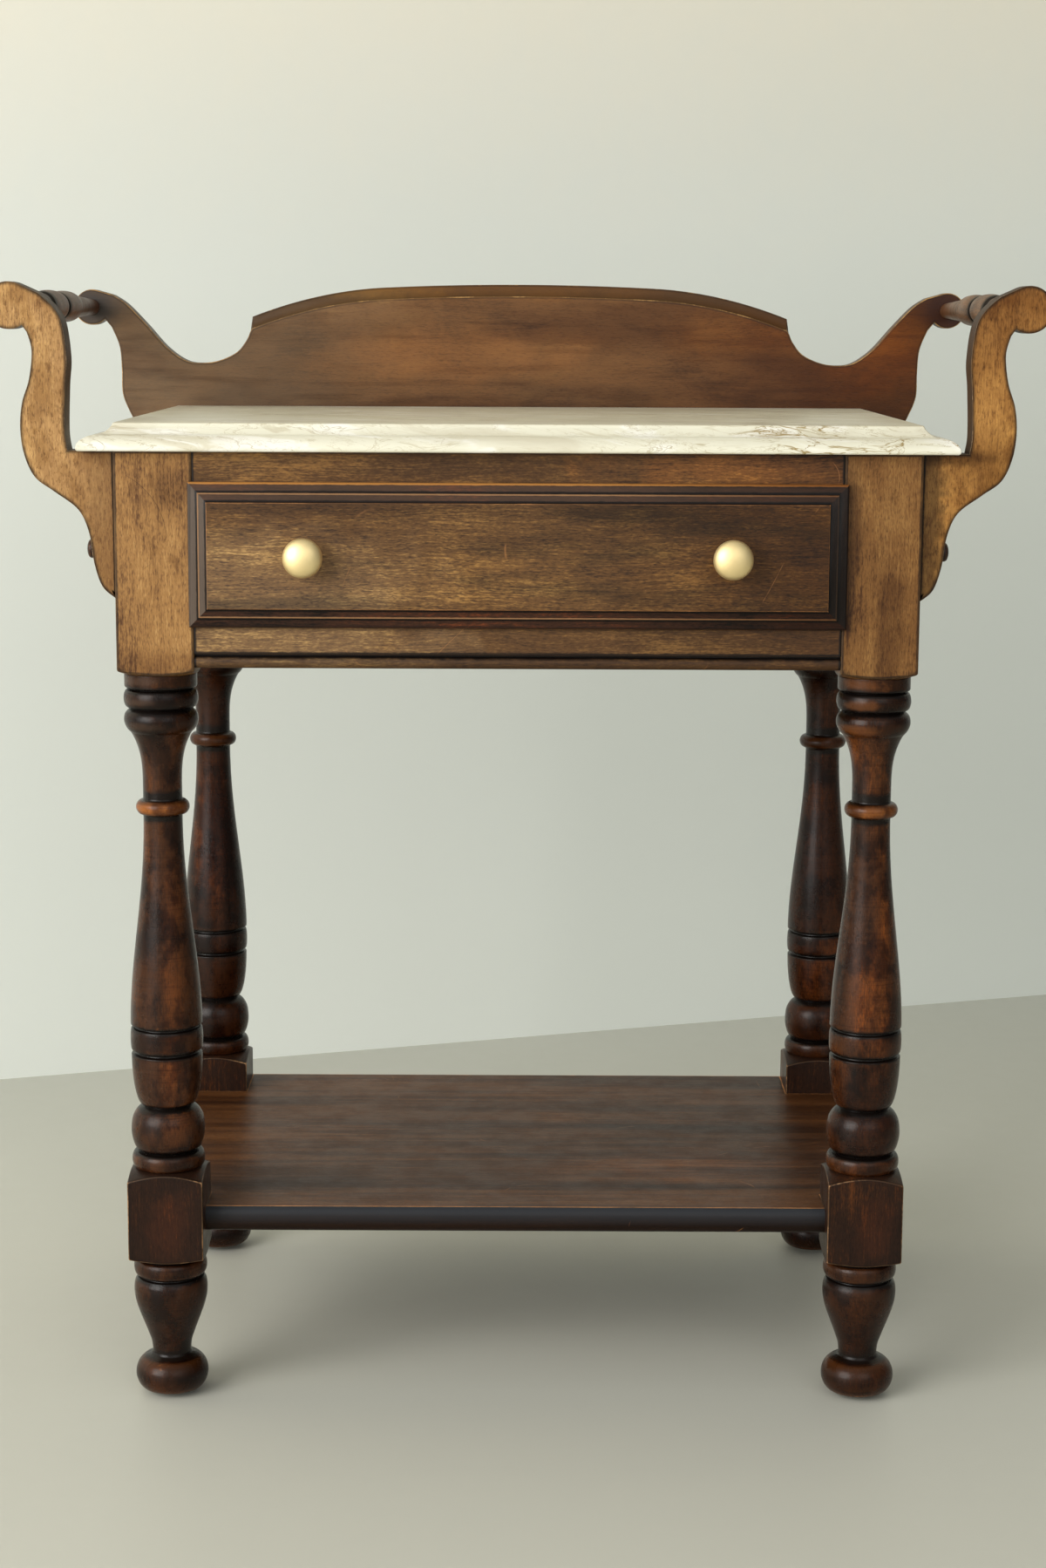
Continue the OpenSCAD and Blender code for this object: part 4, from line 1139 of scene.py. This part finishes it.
class PieceOperator:
    """Shared by the operators: each builds its pieces in make()."""

    bl_options = {"REGISTER", "UNDO"}

    def execute(self, context):
        self.make(context.scene.washstand_sizes)
        return {"FINISHED"}


class WASHSTAND_OT_effects(PieceOperator, bpy.types.Operator):
    """Build the shared grain, wear, patch, scratch and marble effects"""

    bl_idname = "washstand.effects"
    bl_label = "Shared effects"

    def make(self, sizes):
        for build in (stain_group, rub_group, patch_group, line_group, scratch_group,
                      marble_group):
            build()


class WASHSTAND_OT_slab(PieceOperator, bpy.types.Operator):
    """Build the marble slab with its moulded front and ends"""

    bl_idname = "washstand.slab"
    bl_label = "Marble slab"

    def make(self, sizes):
        thick = SLAB_HIGH.z - SLAB_LOW.z
        edge = [(1.8, 0), (1.0, 0.2), (0.4, 0.6), (0.1, 1.2), (0, 1.8)]
        edge += arc((15.5, 2.4), (15.5, 9.4), 180, 90, 20)
        edge += spline([(16.4, 12.1), (18, 12.9), (20.2, 14.6), (22.2, 16.6), (23.3, 17.9)], 4)
        edge += [(23.7, thick - 0.9), (24, thick - 0.35), (24.6, thick)]
        rings = []
        for inset, height in edge:
            left, right, front = SLAB_LOW.x + inset, SLAB_HIGH.x - inset, SLAB_LOW.y + inset
            plan = rectangle(left, right, front, SLAB_HIGH.y)
            rings.append([(x, y, SLAB_LOW.z + height) for x, y in plan])
        bm = new_mesh()
        loft(bm, rings)
        slant, corner = 0.02, 0.35
        upright = [
            e for e in bm.edges
            if abs(e.verts[0].co.x - e.verts[1].co.x) < slant
            and abs(e.verts[0].co.z - e.verts[1].co.z) > TINY
            and e.verts[0].co.y < 0 and e.calc_face_angle(0) > corner
        ]
        round_edges(bm, upright, sizes.slab_arris, 2)
        mark_arrises(bm)
        add_piece(bm, "moulded_marble_slab", [marble_finish()], ["marble_slab"])


class WASHSTAND_OT_legs(PieceOperator, bpy.types.Operator):
    """Build the four turned legs with their square posts and low blocks"""

    bl_idname = "washstand.legs"
    bl_label = "Turned legs"

    def make(self, sizes):
        finishes = leg_finishes()
        posts = (("front", POST_LOW, POST_HIGH), ("back", BACK_POST_LOW, BACK_POST_HIGH))
        for end, low, high in posts:
            for hand, sign in HANDS:
                bm = new_mesh()
                domed_block(bm, (low.x, low.y, POST_BLOCK[0]), (high.x, high.y, POST_BLOCK[1]),
                            6, 0, sizes.post_arris)
                upper = set(bm.faces)
                domed_block(bm, (low.x, low.y, LOW_BLOCK[0]), (high.x, high.y, LOW_BLOCK[1]),
                            5, 8, sizes.post_arris)
                blocks = set(bm.faces)
                mark_arrises(bm)
                seat = ((low.x + high.x) / 2, (low.y + high.y) / 2, 0)
                for line in (foot_line(), shaft_line()):
                    turn(bm, line, seat, sizes.turned_steps, sizes.turned_arris)
                for face in bm.faces:
                    face.material_index = 0 if face in upper else 2 if face in blocks else 1
                if sign < 0:
                    mirror_x(bm)
                leg = f"leg_{end}_{hand}"
                add_piece(bm, f"turned_{leg}", finishes, [leg])


class WASHSTAND_OT_rails(PieceOperator, bpy.types.Operator):
    """Build the rails over and under the drawer, the bead and the aprons"""

    bl_idname = "washstand.rails"
    bl_label = "Rails and aprons"

    def make(self, sizes):
        case, apron = case_finish("Rail stain"), apron_finish()
        inner = POST_LOW.x
        for name in ("front_top_rail", "front_lower_rail", "back_apron"):
            low, high = corners(name)
            bm = new_mesh()
            beam(bm, (-inner, low.y, low.z), (inner, high.y, high.z), sizes.rail_arris)
            mark_arrises(bm)
            add_piece(bm, f"stained_{name}", [case], [name])
        for hand, sign in HANDS:
            bm = new_mesh()
            beam(bm, (APRON_LOW.x, POST_HIGH.y, APRON_LOW.z),
                 (APRON_HIGH.x, BACK_POST_LOW.y, APRON_HIGH.z), sizes.rail_arris)
            if sign < 0:
                mirror_x(bm)
            mark_arrises(bm)
            add_piece(bm, f"stained_apron_{hand}", [apron], [f"side_apron_{hand}"])
        front, base, top = BEAD_LOW.y, BEAD_LOW.z, BEAD_HIGH.z
        radius, rebate, deep = 4.5, 4, 20
        section = arc((front + radius, base + radius), radius, 90, 270, 16)
        section += [(front + deep, base), (front + deep, top), (front + rebate, top),
                    (front + rebate, base + 2 * radius)]
        bm = new_mesh()
        loft(bm, [[(x, y, z) for y, z in section] for x in (-inner, inner)])
        mark_arrises(bm, radius=0.0022)
        bead_finish = case_finish("Bead stain", True)
        add_piece(bm, "stained_rail_bead", [bead_finish], ["rail_bead"])


class WASHSTAND_OT_drawer(PieceOperator, bpy.types.Operator):
    """Build the drawer's front with its raised field and two-step moulding"""

    bl_idname = "washstand.drawer"
    bl_label = "Drawer front"

    def make(self, sizes):
        half, mid = DRAWER_HIGH.x, (DRAWER_LOW.z + DRAWER_HIGH.z) / 2
        tall = DRAWER_HIGH.z - mid
        lip, face = DRAWER_LOW.y + 12, DRAWER_LOW.y
        tuck_x, tuck_z, moulded = 15.5, 5.5, 14.4
        steps = [(0, 0), (0, 0.22), (0.4, 0.32), (1.4, 0.37), (4.5, 0.39), (7.3, 0.47), (7.5, 0.64),
                 (8.3, 0.66), (11, 0.68), (13.8, 0.76), (14, 0.96), (14.5, 1)]

        def ring(wide, high, y):
            return [(x, y, z) for x, z in rectangle(-wide, wide, mid - high, mid + high)]

        rings = [ring(half - tuck_x, tall - tuck_z, y) for y in (DRAWER_HIGH.y, lip)]
        rings += [ring(half - i, tall - i, lip + (face - lip) * share) for i, share in steps]
        bm = new_mesh()
        made = loft(bm, rings)
        arrises(bm, made, sizes.moulding_arris, 2, 38)
        inset_broad(bm, 0.0014, area_over=0.01)
        mark_arrises(bm)
        for f in bm.faces:
            centre = f.calc_center_median() / MM
            across, along = half - abs(centre.x), tall - abs(centre.z - mid)
            if min(across, along) < moulded and centre.y < lip + 0.1:
                f.material_index = 2 if across < along else 1
        add_piece(bm, "moulded_drawer_front", drawer_finishes(), ["drawer_front"],
                  "drawer")


class WASHSTAND_OT_knobs(PieceOperator, bpy.types.Operator):
    """Build the two satin brass knobs"""

    bl_idname = "washstand.knobs"
    bl_label = "Brass knobs"

    def make(self, sizes):
        brass, middle = brass_finish(), (KNOB_LOW + KNOB_HIGH) / 2
        for hand, sign in HANDS:
            bm = new_mesh()
            seat = (sign * middle.x, KNOB_HIGH.y, middle.z)
            turn(bm, knob_line(), seat, sizes.turned_steps, sizes.turned_arris, math.pi / 2)
            add_piece(bm, f"brass_knob_{hand}", [brass], [f"knob_{hand}"], "drawer",
                      even=False)


class WASHSTAND_OT_arms(PieceOperator, bpy.types.Operator):
    """Build the curved front arms and their turned plugs"""

    bl_idname = "washstand.arms"
    bl_label = "Front arms"

    def make(self, sizes):
        arm = arm_finish()
        outline = arm_outline()
        for hand, sign in HANDS:
            bm = new_mesh()
            made = loft(bm, [[(x, y, z) for x, z in outline] for y in (ARM_LOW.y, ARM_HIGH.y)])
            for v in made:
                v.co.x = min(v.co.x, ARM_HIGH.x * MM)
            arrises(bm, made, sizes.board_arris, 3, 60)
            cut_loops(bm, 1, (ARM_LOW.y + ARM_LOOP, ARM_HIGH.y - ARM_LOOP))
            inset_broad(bm, 0.0028, 12)
            mark_rim(bm, 1, ARM_LOW.y, ARM_HIGH.y, sizes.board_arris)
            if sign < 0:
                mirror_x(bm)
            mark_arrises(bm)
            add_piece(bm, f"curved_arm_{hand}", [arm], [f"front_arm_{hand}"])
        line = [(0, 0), (7, 0), (7, 3)] + spline([(7, 3.3), (6.2, 4.9), (3.6, 6.1), (0, 6.6)], 4)
        sunk, steps, arris = 4.8, 48, 0.0003
        middle = (PLUG_LOW + PLUG_HIGH) / 2
        bm = new_mesh()
        for sign in (-1, 1):
            seat = (sign * (PLUG_HIGH.x - sunk), middle.y, middle.z)
            turn(bm, line, seat, steps, arris, sign * math.pi / 2, "Y")
        add_piece(bm, "turned_arm_plugs", [plug_finish()], ["arm_plugs"], even=False)


class WASHSTAND_OT_board(PieceOperator, bpy.types.Operator):
    """Build the arched back board with its cove and lobes"""

    bl_idname = "washstand.board"
    bl_label = "Back board"

    def make(self, sizes):
        front, back = BOARD_LOW.y, BOARD_HIGH.y
        cove = arc((front, 0), (COVE_DEEP, COVE_HIGH), 90, 0, 8)
        rings = [[(x, y, z) for x, z in board_outline(drop)] for y, drop in cove + [(back, 0)]]
        bm = new_mesh()
        made = loft(bm, rings)
        ends = [v for v in made if min(v.co.y - front * MM, back * MM - v.co.y) < TINY]
        arrises(bm, ends, sizes.board_arris * 0.7, 3, 40)
        cut_loops(bm, 1, (front + COVE_DEEP + BOARD_LOOP, back - BOARD_LOOP))
        inset_broad(bm, 0.0012, 12)
        mark_rim(bm, 1, front, back, sizes.board_arris)
        mark_arrises(bm)
        add_piece(bm, "arched_back_board", [board_finish()], ["back_board"])


class WASHSTAND_OT_bars(PieceOperator, bpy.types.Operator):
    """Build the two turned towel bars"""

    bl_idname = "washstand.bars"
    bl_label = "Towel bars"

    def make(self, sizes):
        stain, middle = bar_finish(), (BAR_LOW + BAR_HIGH) / 2
        line = bar_line(BOARD_LOW.y - ARM_HIGH.y)
        for hand, sign in HANDS:
            bm = new_mesh()
            seat = (sign * middle.x, ARM_HIGH.y, middle.z)
            turn(bm, line, seat, sizes.turned_steps, sizes.turned_arris, -math.pi / 2)
            add_piece(bm, f"turned_towel_bar_{hand}", [stain], [f"towel_bar_{hand}"],
                      even=False)


class WASHSTAND_OT_shelf(PieceOperator, bpy.types.Operator):
    """Build the low shelf with its rounded front edge"""

    bl_idname = "washstand.shelf"
    bl_label = "Low shelf"

    def make(self, sizes):
        inner, nose = POST_LOW.x, 6.0
        low, high = SHELF_LOW.z, SHELF_HIGH.z
        under = arc((nose, low + nose), nose, -90, -180, 8)
        over = [(inset, low + high - z) for inset, z in reversed(under)]
        edge = [(nose + 1.5, low)] + under + over + [(nose + 1.2, high)]
        rings = []
        for inset, z in edge:
            front = SHELF_LOW.y + inset
            right = [(inner, front), (inner, POST_HIGH.y), (SHELF_HIGH.x, POST_HIGH.y),
                     (SHELF_HIGH.x, BACK_POST_LOW.y), (inner, BACK_POST_LOW.y),
                     (inner, SHELF_HIGH.y)]
            rings.append([(x, y, z) for x, y in right + [(-x, y) for x, y in reversed(right)]])
        bm = new_mesh()
        loft(bm, rings)
        inset_broad(bm, 0.002, 10)
        worn, rim = bm.verts.layers.float["worn"], bm.verts.layers.float["rim"]
        # A mask for the painted sheen high on the nose.
        slate = bm.verts.layers.float.new("slate")
        mark_arrises(bm)
        for v in bm.verts:
            place = v.co / MM
            if abs(place.x) < inner + 0.1 and place.y < SHELF_LOW.y + nose + 2:
                on_top = abs(place.z - high) < 0.01
                v[worn] = 1.0 if on_top and place.y < SHELF_LOW.y + nose + 0.1 else 0.0
                v[rim] = 0.0 if on_top else 1.0
                v[slate] = max(0.0, (place.z - low - nose) / nose) if not on_top else 0.0
        add_piece(bm, "rounded_shelf", [shelf_finish()], ["shelf"])


class WASHSTAND_OT_inside(PieceOperator, bpy.types.Operator):
    """Finish the drawer's box, its runners and the hidden fixings"""

    bl_idname = "washstand.inside"
    bl_label = "Inside and fixings"

    def make(self, sizes):
        bare, steel = inner_finish(), steel_finish()
        for name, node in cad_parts.items():
            if node.hide_render:
                continue
            node.data.materials.clear()
            node.data.materials.append(steel if "screw" in name or "glide" in name else bare)


# ---- stage

CAMERA_PLACE = (0.003525, -2.21593, 0.82299)
CAMERA_TURN, CAMERA_DOWN, CAMERA_ROLL = 0.0255, 9.5415, -0.2578
CAMERA_LENS = 63.83
WINDOW_SIDE = (-0.78, -0.55, 0.3)
FLOOR_HALF, WALL_WIDE_HALF, WALL_HIGH_HALF = 16, 4, 3
WALL_PLACE, WALL_TURN = (0, 0.91, 3), 18.5


def camera_matrix():
    """Camera frame from its turn, tilt down and roll, in degrees."""
    matrix = Matrix.Translation(CAMERA_PLACE)
    for angle, axis in ((-CAMERA_TURN, "Z"), (90 - CAMERA_DOWN, "X"), (-CAMERA_ROLL, "Z")):
        matrix @= Matrix.Rotation(math.radians(angle), 4, axis)
    return matrix


def stage_paint(name, near, far):
    """Plain pale paint, with a soft change of tone over the surface."""
    paint = Finish(name)
    paint.colour = mix(step(noise(paint.place, 0.9, 2.0), 0.3, 0.7), near, far)
    return paint


def show_front_only(paint):
    """Lets a finish show from the front of its faces only."""
    behind = add_node(paint.tree, "ShaderNodeNewGeometry").outputs["Backfacing"]
    clear = add_node(paint.tree, "ShaderNodeBsdfTransparent").outputs[0]
    solid = paint.surface.links[0].from_socket
    either = derive("ShaderNodeMixShader", {0: behind, 1: solid, 2: clear})[0]
    paint.tree.links.new(either, paint.surface)


def add_plane(name, matrix, finish):
    """A flat square of the stage, placed by a matrix."""
    bm = bmesh.new()
    bmesh.ops.create_grid(bm, x_segments=1, y_segments=1, size=1, matrix=matrix)
    plane = link_mesh(bm, name, [finish])


def add_lamp(name, place, aim, size, power, colour):
    """A square soft light looking at a point."""
    data = bpy.data.lights.new(name, "AREA")
    data.shape, data.size, data.energy, data.color = "SQUARE", size, power, colour
    lamp = bpy.data.objects.new(name, data)
    lamp.location = place
    lamp.rotation_mode = "QUATERNION"
    lamp.rotation_quaternion = (Vector(aim) - Vector(place)).to_track_quat("-Z", "Y")
    link(lamp)


class WASHSTAND_OT_stage(PieceOperator, bpy.types.Operator):
    """Set up the pale floor and wall, the soft light and the camera"""

    bl_idname = "washstand.stage"
    bl_label = "Stage"

    def make(self, sizes):
        scene = bpy.context.scene
        floor = stage_paint("Pale floor", tone(196, 195, 183), tone(201, 200, 188))
        floor_size = Matrix.Diagonal((FLOOR_HALF, FLOOR_HALF, 1, 1))
        add_plane("stage_floor", floor_size, floor.shader(0.5, 0.55))
        wall = stage_paint("Pale wall", tone(232, 235, 228), tone(229, 233, 226))
        # Painted light: the wall is painted paler and warmer towards its top.
        wall.span("Z", 800, 1400, tone(247, 239, 219), 1.0, 100)
        wall_finish = wall.shader(0.8, 0.85)
        show_front_only(wall)
        turned = Matrix.Rotation(math.radians(WALL_TURN), 4, "Z")
        upright = turned @ Matrix.Rotation(math.pi / 2, 4, "X")
        wall_size = Matrix.Diagonal((WALL_WIDE_HALF, WALL_HIGH_HALF, 1, 1))
        add_plane("stage_wall", Matrix.Translation(WALL_PLACE) @ upright @ wall_size, wall_finish)
        add_lamp("window_light", (-2.5, -2.5, 1.65), (0, 0, 0.55), 2.3, 116, (1.0, 0.985, 0.955))
        add_lamp("room_light", (1.2, -3.4, 1.9), (0, 0, 0.5), 2.2, 16, (1.0, 0.98, 0.95))
        scene.world = bpy.data.worlds.new("Studio air")
        scene.world.use_nodes = True
        tree = scene.world.node_tree
        air = tree.nodes["Background"]
        air.inputs["Color"].default_value = (0.97, 1.0, 0.975, 1)
        ahead = add_node(tree, "ShaderNodeTexCoord").outputs["Generated"]
        side = vectors("DOT_PRODUCT", ahead, WINDOW_SIDE)
        tree.links.new(step(side, -0.9, 1.0, 0.14, 0.7), air.inputs["Strength"])
        camera = link(bpy.data.objects.new("camera", bpy.data.cameras.new("camera")))
        camera.data.lens, camera.data.sensor_width, camera.data.sensor_fit = CAMERA_LENS, 36, "AUTO"
        camera.matrix_world = camera_matrix()
        scene.camera = camera
        scene.view_settings.view_transform = "Standard"


PIECES = [
    WASHSTAND_OT_effects, WASHSTAND_OT_slab, WASHSTAND_OT_legs, WASHSTAND_OT_rails,
    WASHSTAND_OT_drawer, WASHSTAND_OT_knobs, WASHSTAND_OT_arms, WASHSTAND_OT_board,
    WASHSTAND_OT_bars, WASHSTAND_OT_shelf, WASHSTAND_OT_inside, WASHSTAND_OT_stage,
]


class WASHSTAND_PT_panel(bpy.types.Panel):
    """Lists the washstand's pieces, sizes and colours in the sidebar"""

    bl_label = "Washstand"
    bl_idname = "WASHSTAND_PT_panel"
    bl_space_type = "VIEW_3D"
    bl_region_type = "UI"
    bl_category = "Washstand"

    def draw(self, context):
        for operator in PIECES:
            self.layout.operator(operator.bl_idname)
        for group in (context.scene.washstand_sizes, context.scene.washstand_finish):
            column = self.layout.column()
            for name in type(group).__annotations__:
                column.prop(group, name)


CLASSES = [WashstandSizes, WashstandFinish, *PIECES, WASHSTAND_PT_panel]


def register():
    for made in CLASSES:
        bpy.utils.register_class(made)
    bpy.types.Scene.washstand_sizes = bpy.props.PointerProperty(type=WashstandSizes)
    bpy.types.Scene.washstand_finish = bpy.props.PointerProperty(type=WashstandFinish)


def unregister():
    del bpy.types.Scene.washstand_sizes
    del bpy.types.Scene.washstand_finish
    for made in reversed(CLASSES):
        bpy.utils.unregister_class(made)


def main():
    register()
    for operator in PIECES:
        getattr(bpy.ops.washstand, operator.bl_idname.split(".")[1])()


if __name__ == "__main__":
    main()
